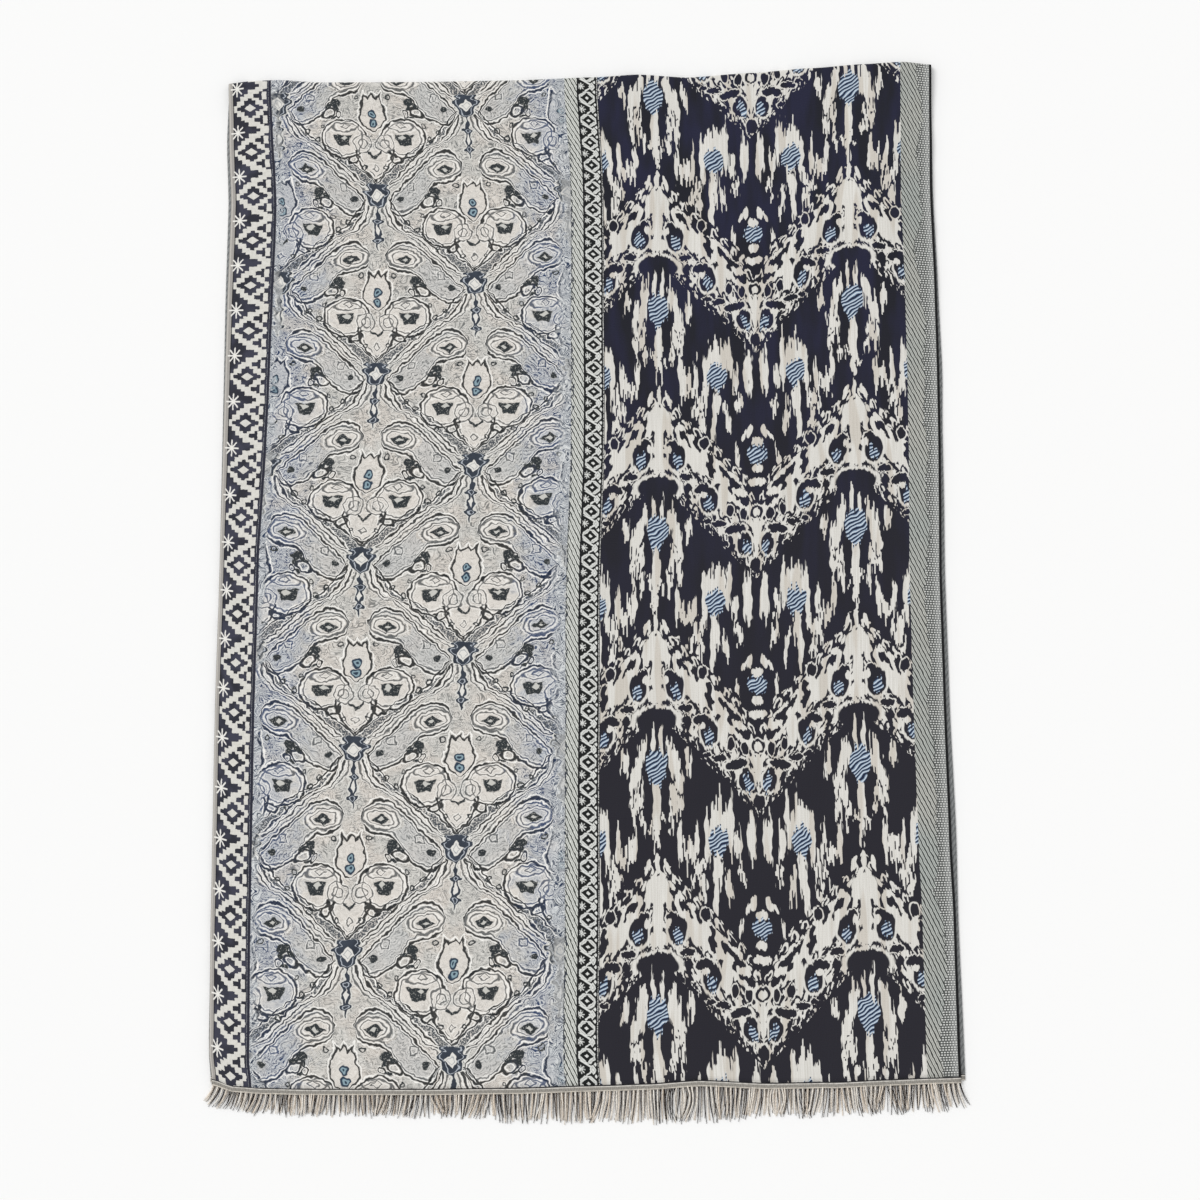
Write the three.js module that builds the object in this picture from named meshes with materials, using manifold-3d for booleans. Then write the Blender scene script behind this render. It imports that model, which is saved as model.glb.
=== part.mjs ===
// A woven shawl doubled over once and laid flat, with a fringed band at both of its ends.
// Millimetres. +X runs across the cloth, +Y towards the fold, +Z up. The origin is under the
// middle of the whole shawl, on the surface it lies on.
import * as THREE from "three";
import { mergeVertices } from "three/addons/utils/BufferGeometryUtils.js";
import Module from "manifold-3d";

const wasm = await Module();
wasm.setup();

// Driving dimensions
const CLOTH_WALL = 1.2; // one layer of the jacquard cloth
const LAYER_RISE = 3.0; // middle of the upper layer above the surface, where the cloth lies flattest
const FOLD_RISE = 5.6; // the same at the fold, where the doubled cloth stands up a little
const FOLD_REACH = 26; // how far from the fold that extra height has mostly died away
const GROOVE_DEPTH = 12; // how far in from the edges the two layers stay apart
const SEAM_GAP = 0.3; // between the cloth's end and the band that carries the fringe
const BAND_WIDTH = 5.5; // the plain woven band at each end
const UNDER_END_STEP = 2.5; // the lower end lies this much further in than the upper one
const STRANDS_PER_END = 104; // cords of the fringe at one end
const STRAND_RADIUS = 0.85; // a fringe cord, from its middle to its ridge
const STRAND_ROOT = 1.6; // how deep a cord is rooted in its band
const FLOOR_CLEARANCE = 0.35; // under the lowest cords
const CLUMP_PITCH = 23; // cords gather towards each other in clumps this far apart
const CLUMP_PULL = 1.5; // how far a clump pulls the tips aside
const END_SPLAY = 11; // how far the outermost tips lean out past the selvedges
const SPLAY_REACH = 22; // width over which that leaning dies away
const LONG_TIPS = 0.94; // the cords' usual share of the fringe's full length
const TIP_UNEVENNESS = 0.06; // how far single cords are longer or shorter than that
const TIP_BEAT = 2.4; // turn, in radians, of that unevenness from one cord to the next
const TIP_TAPER = 0.3; // share of its thickness that a cord has lost at its tip

// Both layers' side edges, from the open end (up 0) to the fold (up 1)
const SIDE_EDGES = [
  { up: 0.0, left: -345, right: 354.5, underLeft: -346.5, underRight: 358.5 },
  { up: 0.025, left: -348, right: 354, underLeft: -349, underRight: 358 },
  { up: 0.15, left: -349.8, right: 353, underLeft: -350, underRight: 355.5 },
  { up: 0.22, left: -350.2, right: 350.6, underLeft: -350.2, underRight: 355.5 },
  { up: 0.36, left: -351, right: 348.3, underLeft: -350.6, underRight: 352 },
  { up: 0.48, left: -350.1, right: 347.1, underLeft: -350.4, underRight: 350.6 },
  { up: 0.56, left: -349.9, right: 348.2, underLeft: -350.6, underRight: 355.6 },
  { up: 0.68, left: -349.6, right: 349.3, underLeft: -351, underRight: 357.5 },
  { up: 0.77, left: -349.2, right: 349.6, underLeft: -352, underRight: 351.5 },
  { up: 0.87, left: -350.2, right: 349, underLeft: -353.4, underRight: 349.5 },
  { up: 0.94, left: -351.4, right: 347.6, underLeft: -354, underRight: 348 },
  { up: 1.0, left: -353, right: 348.1, underLeft: -353, underRight: 348.1 },
];

// The open end and the fold, from the left selvedge (across 0) to the right one (across 1)
const END_LINES = [
  { across: 0.0, end: -451, fold: 520, fringe: 22 },
  { across: 0.03, end: -457.5, fold: 522.6, fringe: 23 },
  { across: 0.07, end: -459.3, fold: 524, fringe: 25 },
  { across: 0.13, end: -460.2, fold: 521.3, fringe: 25.5 },
  { across: 0.27, end: -460.2, fold: 521.8, fringe: 26 },
  { across: 0.4, end: -459.3, fold: 523.4, fringe: 31 },
  { across: 0.52, end: -456.8, fold: 526.8, fringe: 35 },
  { across: 0.58, end: -455.4, fold: 529.6, fringe: 37 },
  { across: 0.65, end: -452, fold: 526.4, fringe: 38 },
  { across: 0.74, end: -454.7, fold: 531.2, fringe: 33 },
  { across: 0.83, end: -453.8, fold: 536.4, fringe: 31 },
  { across: 0.9, end: -451.6, fold: 540.4, fringe: 31 },
  { across: 0.96, end: -450.1, fold: 543, fringe: 31 },
  { across: 1.0, end: -449.2, fold: 540, fringe: 28 },
];

// The largest soft folds of the upper layer: long low swells, placed by hand
const SWELLS = [
  { x: 58, y: 470, halfWidth: 26, halfLength: 120, lift: 2.6, lean: 0.05 },
  { x: 128, y: 455, halfWidth: 24, halfLength: 150, lift: 2.2, lean: -0.04 },
  { x: 286, y: 420, halfWidth: 30, halfLength: 170, lift: 2.8, lean: 0.03 },
  { x: -250, y: 500, halfWidth: 34, halfLength: 70, lift: 1.6, lean: 0.1 },
  { x: -120, y: 300, halfWidth: 40, halfLength: 150, lift: 1.3, lean: 0.12 },
  { x: 190, y: 120, halfWidth: 34, halfLength: 190, lift: 1.9, lean: -0.05 },
  { x: -20, y: 30, halfWidth: 30, halfLength: 260, lift: 1.2, lean: 0.02 },
  { x: -230, y: -40, halfWidth: 42, halfLength: 170, lift: 1.4, lean: -0.08 },
  { x: 318, y: -60, halfWidth: 22, halfLength: 200, lift: 1.8, lean: 0.01 },
  { x: 100, y: -400, halfWidth: 28, halfLength: 110, lift: 2.6, lean: 0.06 },
  { x: 262, y: -410, halfWidth: 30, halfLength: 120, lift: 2.2, lean: -0.03 },
  { x: -130, y: -420, halfWidth: 36, halfLength: 90, lift: 1.5, lean: 0.08 },
];

// How finely the surfaces are divided
const STEPS_ACROSS = 40;
const STEPS_ALONG = 42;
const STEPS_ROUND_FOLD = 8;
const STEPS_UNDERNEATH = 14;
const STRAND_STEPS = 3;
const STRAND_SIDES = 3;

const COLOURS = {
  cloth: { color: 0x9a9a99, roughness: 0.9, metalness: 0 },
  fringe: { color: 0xb9aa9a, roughness: 0.95, metalness: 0 },
};

// Value of one table column at a place, eased between its rows
function tableValue(rows, key, column, place) {
  const last = rows.length - 2;
  let row = rows.findIndex((entry, index) => index > 0 && place <= entry[key]) - 1;
  if (row < 0) row = place <= rows[0][key] ? 0 : last;
  const from = rows[row];
  const to = rows[row + 1];
  const share = THREE.MathUtils.clamp((place - from[key]) / (to[key] - from[key]), 0, 1);
  const eased = share * share * (3 - 2 * share);
  return THREE.MathUtils.lerp(from[column], to[column], (share + eased) / 2);
}

const sideEdge = (column, up) => tableValue(SIDE_EDGES, "up", column, up);
const endLine = (column, across) => tableValue(END_LINES, "across", column, across);

// Plan position of a point of the upper or lower layer
function planPoint(layer, across, up) {
  const isUpper = layer === "upper";
  const left = sideEdge(isUpper ? "left" : "underLeft", up);
  const right = sideEdge(isUpper ? "right" : "underRight", up);
  const end = endLine("end", across) + (isUpper ? 0 : UNDER_END_STEP);
  return {
    x: THREE.MathUtils.lerp(left, right, across),
    y: THREE.MathUtils.lerp(end, endLine("fold", across), up),
  };
}

// Height of the middle of the upper layer's wall: flat, plus the swells, plus the rise at the fold
function upperHeight(x, y, foldDistance) {
  let lift = 0;
  for (const swell of SWELLS) {
    const along = (y - swell.y) / swell.halfLength;
    const across = (x - swell.x - swell.lean * (y - swell.y)) / swell.halfWidth;
    lift += swell.lift * Math.exp(-across * across - along * along);
  }
  const settled = 1 - Math.exp(-((foldDistance / FOLD_REACH) ** 2));
  return THREE.MathUtils.lerp(FOLD_RISE, LAYER_RISE + lift, settled);
}

// Middle of the cloth's wall and the direction out of it. Way 0 is the upper layer's open end,
// 1 the start of the fold's round, 2 its other side, and 3 the lower layer's open end.
function clothPoint(across, way) {
  const lowHeight = CLOTH_WALL / 2;
  const foldRadius = (FOLD_RISE - lowHeight) / 2;
  const foldShare = 1 - foldRadius / (endLine("fold", across) - endLine("end", across));
  if (way <= 1) {
    const up = way * foldShare;
    const { x, y } = planPoint("upper", across, up);
    const foldDistance = planPoint("upper", across, foldShare).y - y;
    const middle = new THREE.Vector3(x, y, upperHeight(x, y, foldDistance));
    return { middle, out: new THREE.Vector3(0, 0, 1) };
  }
  if (way >= 2) {
    const { x, y } = planPoint("lower", across, (3 - way) * foldShare);
    return { middle: new THREE.Vector3(x, y, lowHeight), out: new THREE.Vector3(0, 0, -1) };
  }
  const angle = Math.PI * (0.5 - (way - 1));
  const { x, y } = planPoint("upper", across, foldShare);
  const out = new THREE.Vector3(0, Math.cos(angle), Math.sin(angle));
  const centre = new THREE.Vector3(x, y, lowHeight + foldRadius);
  return { middle: centre.addScaledVector(out, foldRadius), out };
}

// Closed mesh from two grids of points that share their edges' order: an outer and an inner skin
function shellGeometry(outer, inner, columns, rows) {
  const positions = [...outer, ...inner].flatMap((point) => [point.x, point.y, point.z]);
  const triangles = [];
  const quad = (a, b, c, d) => triangles.push(a, b, c, a, c, d);
  const at = (column, row) => row * (columns + 1) + column;
  const innerStart = outer.length;
  for (let row = 0; row < rows; row++) {
    for (let column = 0; column < columns; column++) {
      const corners = [at(column, row), at(column + 1, row), at(column + 1, row + 1), at(column, row + 1)];
      quad(...corners);
      quad(...corners.reverse().map((index) => index + innerStart));
    }
  }
  const rim = [];
  for (let column = 0; column < columns; column++) rim.push(at(column, 0));
  for (let row = 0; row < rows; row++) rim.push(at(columns, row));
  for (let column = columns; column > 0; column--) rim.push(at(column, rows));
  for (let row = rows; row > 0; row--) rim.push(at(0, row));
  rim.forEach((from, index) => {
    const to = rim[(index + 1) % rim.length];
    quad(from, from + innerStart, to + innerStart, to);
  });
  const geometry = new THREE.BufferGeometry();
  geometry.setAttribute("position", new THREE.Float32BufferAttribute(positions, 3));
  geometry.setIndex(triangles);
  return geometry;
}

function toSolid(geometry) {
  const bare = geometry.clone();
  bare.deleteAttribute("normal");
  bare.deleteAttribute("uv");
  const merged = mergeVertices(bare, 1e-4);
  const mesh = new wasm.Mesh({
    numProp: 3,
    vertProperties: Float32Array.from(merged.attributes.position.array),
    triVerts: Uint32Array.from(merged.index.array),
  });
  return new wasm.Manifold(mesh);
}

function toGeometry(solid) {
  const mesh = solid.getMesh();
  const geometry = new THREE.BufferGeometry();
  geometry.setAttribute("position", new THREE.Float32BufferAttribute(mesh.vertProperties, 3));
  geometry.setIndex(Array.from(mesh.triVerts));
  geometry.computeVertexNormals();
  return geometry;
}

// The doubled cloth: a wall that runs up the upper layer, round the fold and back underneath
function clothWall() {
  const ways = [];
  for (let row = 0; row <= STEPS_ALONG; row++) ways.push(row / STEPS_ALONG);
  for (let step = 1; step <= STEPS_ROUND_FOLD; step++) ways.push(1 + step / STEPS_ROUND_FOLD);
  for (let row = 1; row <= STEPS_UNDERNEATH; row++) ways.push(2 + row / STEPS_UNDERNEATH);
  const outer = [];
  const inner = [];
  for (const way of ways) {
    for (let column = 0; column <= STEPS_ACROSS; column++) {
      const { middle, out } = clothPoint(column / STEPS_ACROSS, way);
      outer.push(middle.clone().addScaledVector(out, CLOTH_WALL / 2));
      inner.push(middle.clone().addScaledVector(out, -CLOTH_WALL / 2));
    }
  }
  return shellGeometry(outer, inner, STEPS_ACROSS, ways.length - 1);
}

// The middle of the doubled cloth, where nothing shows between the layers: one solid that joins
// them, a groove's depth in from the three open edges
function clothCore() {
  const foldInset = FOLD_RISE / 2;
  const top = [];
  const bottom = [];
  for (let row = 0; row <= STEPS_ALONG; row++) {
    const up = row / STEPS_ALONG;
    const width = sideEdge("right", up) - sideEdge("left", up);
    for (let column = 0; column <= STEPS_ACROSS; column++) {
      const inset = THREE.MathUtils.lerp(GROOVE_DEPTH, width - GROOVE_DEPTH, column / STEPS_ACROSS);
      const across = inset / width;
      const length = endLine("fold", across) - endLine("end", across);
      const reach = THREE.MathUtils.lerp(GROOVE_DEPTH, length - foldInset, up);
      const { x, y } = planPoint("upper", across, reach / length);
      top.push(new THREE.Vector3(x, y, upperHeight(x, y, length - foldInset - reach)));
      bottom.push(new THREE.Vector3(x, y, CLOTH_WALL / 2));
    }
  }
  return shellGeometry(top, bottom, STEPS_ACROSS, STEPS_ALONG);
}

// Height of a layer's middle at its open end
function endHeight(layer, x, y) {
  return layer === "upper" ? upperHeight(x, y, Infinity) : CLOTH_WALL / 2;
}

// Point on the open end's line, a distance beyond it
function endPoint(layer, across, beyond) {
  const { x, y } = planPoint(layer, across, 0);
  return new THREE.Vector3(x, y - beyond, endHeight(layer, x, y));
}

// The plain woven band past the end of one layer
function endBand(layer) {
  const top = [];
  const bottom = [];
  for (const beyond of [SEAM_GAP + BAND_WIDTH, SEAM_GAP]) {
    for (let column = 0; column <= STEPS_ACROSS; column++) {
      const middle = endPoint(layer, column / STEPS_ACROSS, beyond);
      top.push(middle.clone().setZ(middle.z + CLOTH_WALL / 2));
      bottom.push(middle.clone().setZ(middle.z - CLOTH_WALL / 2));
    }
  }
  return shellGeometry(top, bottom, STEPS_ACROSS, 1);
}

// Sideways lean of a fringe cord's tip: splayed past both selvedges, gathered in clumps between
function tipLean(x) {
  const left = sideEdge("left", 0);
  const right = sideEdge("right", 0);
  const splay = Math.exp((x - right) / SPLAY_REACH) - Math.exp((left - x) / SPLAY_REACH);
  return END_SPLAY * splay + CLUMP_PULL * Math.sin((2 * Math.PI * x) / CLUMP_PITCH);
}

// One cord of the fringe: a three-sided bar that leaves its band, sinks and ends above the floor.
// Cords of both layers share one line of places, so that they lie side by side.
function strandGeometry(layer, across, tipShare) {
  const rootDepth = layer === "upper" ? STRAND_ROOT : STRAND_ROOT + UNDER_END_STEP;
  const rootReach = SEAM_GAP + BAND_WIDTH - rootDepth;
  const fullReach = endLine("fringe", across);
  const start = planPoint("upper", across, 0);
  const low = FLOOR_CLEARANCE + STRAND_RADIUS / 2;
  const high = Math.max(endHeight(layer, start.x, start.y), low);
  const positions = [];
  for (let step = 0; step <= STRAND_STEPS; step++) {
    const share = step / STRAND_STEPS;
    const reach = THREE.MathUtils.lerp(rootReach, fullReach * tipShare, share);
    const x = start.x + tipLean(start.x) * (reach / fullReach) ** 2;
    const z = THREE.MathUtils.lerp(high, low, THREE.MathUtils.smoothstep(share, 0, 1));
    const radius = STRAND_RADIUS * (1 - TIP_TAPER * share);
    for (let side = 0; side < STRAND_SIDES; side++) {
      const angle = Math.PI / 2 + (2 * Math.PI * side) / STRAND_SIDES;
      positions.push(x + radius * Math.cos(angle), start.y - reach, z + radius * Math.sin(angle));
    }
  }
  const triangles = [2, 1, 0];
  for (let step = 0; step < STRAND_STEPS; step++) {
    for (let side = 0; side < STRAND_SIDES; side++) {
      const next = (side + 1) % STRAND_SIDES;
      const here = step * STRAND_SIDES;
      const beyond = here + STRAND_SIDES;
      triangles.push(here + side, here + next, beyond + next, here + side, beyond + next, beyond + side);
    }
  }
  const tip = STRAND_STEPS * STRAND_SIDES;
  triangles.push(tip, tip + 1, tip + 2);
  const geometry = new THREE.BufferGeometry();
  geometry.setAttribute("position", new THREE.Float32BufferAttribute(positions, 3));
  geometry.setIndex(triangles);
  return geometry;
}

// One end's band with its fringe. The two ends' cords lie in each other's spaces.
function fringedBand(layer) {
  const shift = layer === "upper" ? 0.25 : 0.75;
  const pieces = [toSolid(endBand(layer))];
  for (let index = 0; index < STRANDS_PER_END; index++) {
    const across = (index + shift) / STRANDS_PER_END;
    const tipShare = LONG_TIPS + TIP_UNEVENNESS * Math.sin(index * TIP_BEAT);
    pieces.push(toSolid(strandGeometry(layer, across, tipShare)));
  }
  return toGeometry(wasm.Manifold.union(pieces));
}

function namedMesh(name, geometry, finish) {
  const mesh = new THREE.Mesh(geometry, new THREE.MeshStandardMaterial(finish));
  mesh.name = name;
  return mesh;
}

const cloth = toGeometry(toSolid(clothWall()).add(toSolid(clothCore())));
const group = new THREE.Group();
group.add(namedMesh("cloth", cloth, COLOURS.cloth));
group.add(namedMesh("fringe_upper", fringedBand("upper"), COLOURS.fringe));
group.add(namedMesh("fringe_lower", fringedBand("lower"), COLOURS.fringe));

// The origin goes under the middle of the shawl's outline
const outline = new THREE.Box3().setFromObject(group);
const middle = outline.getCenter(new THREE.Vector3());
group.position.set(-middle.x, -middle.y, -outline.min.z);

export default group;
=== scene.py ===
# %% [markdown]
# # A folded shawl with fringed ends
# One length of jacquard cloth, doubled over once, lies flat on a pale surface. The fold is at the
# far end and both fringed ends are at the near end. This script dresses the plain solids of the
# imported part: a thin shell for the cloth, with its woven stripes worked out by shader maths, and
# some hundreds of twisted cords for the fringe.

# %% The frame
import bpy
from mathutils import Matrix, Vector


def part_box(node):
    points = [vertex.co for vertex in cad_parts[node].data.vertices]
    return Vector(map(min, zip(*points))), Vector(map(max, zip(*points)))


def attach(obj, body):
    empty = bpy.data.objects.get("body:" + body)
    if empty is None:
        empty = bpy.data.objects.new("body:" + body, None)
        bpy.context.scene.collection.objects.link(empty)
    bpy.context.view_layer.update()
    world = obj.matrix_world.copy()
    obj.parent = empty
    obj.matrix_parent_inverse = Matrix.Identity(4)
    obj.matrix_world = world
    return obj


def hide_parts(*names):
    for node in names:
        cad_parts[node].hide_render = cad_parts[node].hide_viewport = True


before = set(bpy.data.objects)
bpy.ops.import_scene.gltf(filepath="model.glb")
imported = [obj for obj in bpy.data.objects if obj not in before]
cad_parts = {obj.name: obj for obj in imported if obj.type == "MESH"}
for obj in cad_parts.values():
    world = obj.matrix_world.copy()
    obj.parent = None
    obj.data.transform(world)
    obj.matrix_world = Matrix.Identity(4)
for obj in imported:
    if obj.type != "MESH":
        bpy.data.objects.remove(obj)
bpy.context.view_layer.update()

# %% Tools and units
import math
from types import SimpleNamespace

import bpy
import numpy as np
from mathutils import Vector

MM = 0.001
random = np.random.default_rng(7)

# %% [markdown]
# ## The cloth's sizes
# Cloth is cut square but never lies square: its selvedges wander and its ends are wavy. Short
# tables hold the places of the edges, as rows from one end to the other. A value between two rows
# is halfway between a straight line and an S-curve, which gives soft corners without overshoot.

# %% Edge tables
CLOTH_WIDTH = 0.700
CLOTH_LENGTH = 1.970
LAYER_LENGTH = CLOTH_LENGTH / 2
CLOTH_WALL = 1.2 * MM
LAYER_RISE = 3.0 * MM
FOLD_RISE = 5.6 * MM
FOLD_REACH = 26 * MM
LOW_RISE = CLOTH_WALL / 2
UNDER_END_STEP = 2.5 * MM


def table(names, rows):
    """Columns by name, from rows of numbers in millimetres or in shares of the way."""
    return dict(zip(names.split(), np.array(rows, float).T))


SIDE_EDGES = table("up left right under_left under_right", [
    (0.0, -345, 354.5, -346.5, 358.5),
    (0.025, -348, 354, -349, 358),
    (0.15, -349.8, 353, -350, 355.5),
    (0.22, -350.2, 350.6, -350.2, 355.5),
    (0.36, -351, 348.3, -350.6, 352),
    (0.48, -350.1, 347.1, -350.4, 350.6),
    (0.56, -349.9, 348.4, -350.6, 351.4),
    (0.62, -349.7, 349.2, -350.8, 351.4),
    (0.68, -349.6, 349.4, -351, 352.6),
    (0.77, -349.2, 348.8, -351.4, 350.4),
    (0.87, -347.8, 346.6, -350.8, 347.6),
    (0.94, -351.4, 347.6, -354, 348),
    (1.0, -353, 348.1, -353, 348.1),
])
END_LINES = table("across end fold fringe", [
    (0.0, -451, 520, 22),
    (0.03, -457.5, 522.6, 23),
    (0.07, -459.3, 524, 25),
    (0.13, -460.2, 521.3, 25.5),
    (0.27, -460.2, 521.8, 26),
    (0.4, -459.3, 523.4, 31),
    (0.52, -456.8, 526.8, 35),
    (0.58, -455.4, 529.6, 37),
    (0.65, -452, 526.4, 38),
    (0.74, -454.7, 531.2, 33),
    (0.83, -453.8, 536.4, 31),
    (0.9, -451.6, 540.4, 31),
    (0.96, -450.1, 543, 31),
    (1.0, -449.2, 540, 28),
])


def between(rows, key, name, place):
    """Column value at each place: the mean of the straight line and the S-curve 3t^2 - 2t^3."""
    place = np.asarray(place, float)
    row = np.clip(np.searchsorted(rows[key], place) - 1, 0, len(rows[key]) - 2)
    start, stop = rows[key][row], rows[key][row + 1]
    share = np.clip((place - start) / (stop - start), 0, 1)
    weight = (share + share**2 * (3 - 2 * share)) / 2
    return (rows[name][row] * (1 - weight) + rows[name][row + 1] * weight) * MM


shift_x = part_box("cloth")[0][0] - SIDE_EDGES["under_left"].min() * MM
shift_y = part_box("cloth")[0][1] - END_LINES["end"].min() * MM
print("tables moved into the frame by", round(shift_x, 4), round(shift_y, 4))

# %% [markdown]
# ## The camera
# The picture looks almost straight down, tilted by eight degrees so that the fringed end is
# nearer. Lens and distance are worked out from two facts: the cloth is 700 mm wide, and it looks
# five per cent narrower at the fold than at the fringe.

# %% Camera
IMAGE_SIDE = 1200
CAMERA_DISTANCE = 1.99
CAMERA_TILT = math.radians(8)
FOCAL_PIXELS = 2066
SENSOR_WIDTH = 36
AIM = Vector((17.3 * MM + shift_x, shift_y, 4 * MM))

camera_data = bpy.data.cameras.new("camera")
camera_data.sensor_width = SENSOR_WIDTH
camera_data.lens = FOCAL_PIXELS * SENSOR_WIDTH / IMAGE_SIDE
camera = bpy.data.objects.new("camera", camera_data)
camera.location = AIM + CAMERA_DISTANCE * Vector((0, -math.sin(CAMERA_TILT), math.cos(CAMERA_TILT)))
camera.rotation_euler = (CAMERA_TILT, 0, 0)
bpy.context.collection.objects.link(camera)
bpy.context.scene.camera = camera
print("lens", round(camera_data.lens, 1), "mm")

# %% [markdown]
# ## The cloth's form
# The cloth is one wall that runs up the upper layer, round the fold and back underneath. Its
# middle surface is a function of two numbers: how far across, and how far along. The long low
# swells are the same as the solid's. Over them go narrower creases, each placed where the
# shawl was handled, and the small puckers that a tight jacquard weave makes, which are a sum of
# faint waves. A cloth simulation would need thousands of tiny cells to hold creases this fine.

# %% Swells and creases
SWELLS = table("x y half_width half_length lift lean", [
    (58, 470, 26, 120, 2.6, 0.05),
    (128, 455, 24, 150, 2.2, -0.04),
    (286, 420, 30, 170, 2.8, 0.03),
    (-250, 500, 34, 70, 1.6, 0.1),
    (-120, 300, 40, 150, 1.3, 0.12),
    (190, 120, 34, 190, 1.9, -0.05),
    (-20, 30, 30, 260, 1.2, 0.02),
    (-230, -40, 42, 170, 1.4, -0.08),
    (318, -60, 22, 200, 1.8, 0.01),
    (100, -400, 28, 110, 2.6, 0.06),
    (262, -410, 30, 120, 2.2, -0.03),
    (-130, -420, 36, 90, 1.5, 0.08),
])
CREASES = table("x y half_width half_length lift lean", [
    (112, 440, 8, 62, -1.5, -0.16),
    (122, 452, 7, 58, 1.3, -0.16),
    (76, 500, 9, 40, 1.1, 0.1),
    (246, 470, 10, 60, -1.0, 0.12),
    (306, 430, 8, 80, 1.0, 0.02),
    (330, 300, 9, 110, -0.9, 0.03),
    (214, 300, 12, 90, 0.9, -0.08),
    (20, 250, 9, 120, 0.8, 0.03),
    (-30, 380, 10, 70, 0.7, -0.1),
    (-160, 420, 11, 60, -0.7, 0.2),
    (-300, 250, 9, 90, 0.8, 0.04),
    (-322, 60, 8, 110, -0.7, -0.03),
    (-90, 120, 12, 90, -0.6, 0.14),
    (-200, 180, 12, 70, 0.7, -0.2),
    (64, 90, 10, 110, -0.8, 0.05),
    (146, -60, 11, 100, 0.9, -0.06),
    (236, -120, 12, 90, -0.8, 0.1),
    (290, 60, 10, 100, 0.8, -0.04),
    (332, -220, 8, 120, 1.0, 0.02),
    (-14, -150, 8, 130, 0.9, 0.02),
    (-110, -200, 13, 80, 0.7, 0.18),
    (-260, -220, 11, 90, -0.7, -0.06),
    (-312, -330, 9, 80, 0.9, 0.05),
    (-40, -380, 9, 60, -0.8, 0.04),
    (74, -420, 8, 46, -1.1, 0.08),
    (168, -404, 11, 60, 1.0, -0.1),
    (226, -430, 8, 40, -0.9, 0.05),
    (-200, -430, 9, 36, 0.8, 0.1),
])
PUCKER_LIFT = 0.2 * MM
PUCKER_WAVES = 28
PUCKER_LENGTHS = (13, 44)


def swell_height(rows, x, y):
    """Sum of long low bumps: each is lift times exp(-(across^2 + along^2)) in its own widths."""
    height = np.zeros(np.broadcast(x, y).shape)
    for row in range(len(rows["x"])):
        mid_x, mid_y, half_width, half_length, lift, lean = (rows[name][row] for name in rows)
        along = (y / MM - mid_y) / half_length
        across = (x / MM - mid_x - lean * (y / MM - mid_y)) / half_width
        height += lift * MM * np.exp(-(across**2) - along**2)
    return height


def pucker_height(x, y):
    """Mean of faint straight waves, each sin(2 pi (direction . place) / length + phase)."""
    height = np.zeros(np.broadcast(x, y).shape)
    for length, turn, phase in zip(random.uniform(*PUCKER_LENGTHS, PUCKER_WAVES),
                                   random.uniform(0, math.pi, PUCKER_WAVES),
                                   random.uniform(0, 2 * math.pi, PUCKER_WAVES)):
        place = (x * math.cos(turn) + y * math.sin(turn)) / MM
        height += np.sin(2 * math.pi * place / length + phase)
    return height * PUCKER_LIFT / math.sqrt(PUCKER_WAVES / 2)


def plan(layer, across, up):
    """Plan position: straight from one selvedge to the other and from the open end to the fold."""
    under = layer == "lower"
    left = between(SIDE_EDGES, "up", "under_left" if under else "left", up)
    right = between(SIDE_EDGES, "up", "under_right" if under else "right", up)
    end = between(END_LINES, "across", "end", across) + under * UNDER_END_STEP
    fold = between(END_LINES, "across", "fold", across)
    return left + (right - left) * across, end + (fold - end) * up


def upper_height(x, y, fold_distance):
    """Flat height plus swells, blended to the fold's height by 1 - exp(-(distance/reach)^2)."""
    settled = 1 - np.exp(-((fold_distance / FOLD_REACH) ** 2))
    return FOLD_RISE + (LAYER_RISE + swell_height(SWELLS, x, y) - FOLD_RISE) * settled


# %% The middle surface
ZONES = [("kilim_border", 39.5), ("paisley_panel", 333.0), ("twill_stripe", 345.2),
         ("chain_strip", 366.0), ("ikat_panel", 668.7), ("edge_border", 700.0)]
COLUMN_PITCH = 5.0
UPPER_ROWS, FOLD_ROWS, LOWER_ROWS = 196, 12, 56
FOLD_RADIUS = (FOLD_RISE - LOW_RISE) / 2


def zone_columns():
    """Column places across the cloth, with one exactly on each zone's boundary, and their zones."""
    places, zones, start = [np.zeros(1)], [], 0.0
    for index, (_, stop) in enumerate(ZONES):
        count = max(2, round((stop - start) / COLUMN_PITCH))
        places.append(np.linspace(start, stop, count + 1)[1:])
        zones += [index] * count
        start = stop
    return np.concatenate(places) / ZONES[-1][1], np.array(zones)


# The stripes' sideways drift in millimetres: a row for each place across, a column for each up
DRIFT_ACROSS = [0, 0.057, 0.5, 0.86, 1]
DRIFT_UP = [0.05, 0.13, 0.21, 0.28, 0.36, 0.44, 0.52, 0.6, 0.67, 0.75, 0.83, 0.91, 0.985]
DRIFT_MM = [
    [0] * 13,
    [-4.9, -4.8, -4.7, -4.6, -4.5, -4.4, -4.3, -0.8, 1.2, 2.3, 3.3, 2.5, -0.3],
    [-3.0, -0.8, 1.0, 1.4, 3.2, 2.6, 3.9, 6.2, 6.6, 6.0, 6.3, 5.7, 1.3],
    [-1.1, -0.9, -0.7, -1.0, -0.4, -0.2, 0.0, 0.2, -0.6, -0.9, -1.0, -0.5, 1.2],
    [0] * 13,
]


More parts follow.
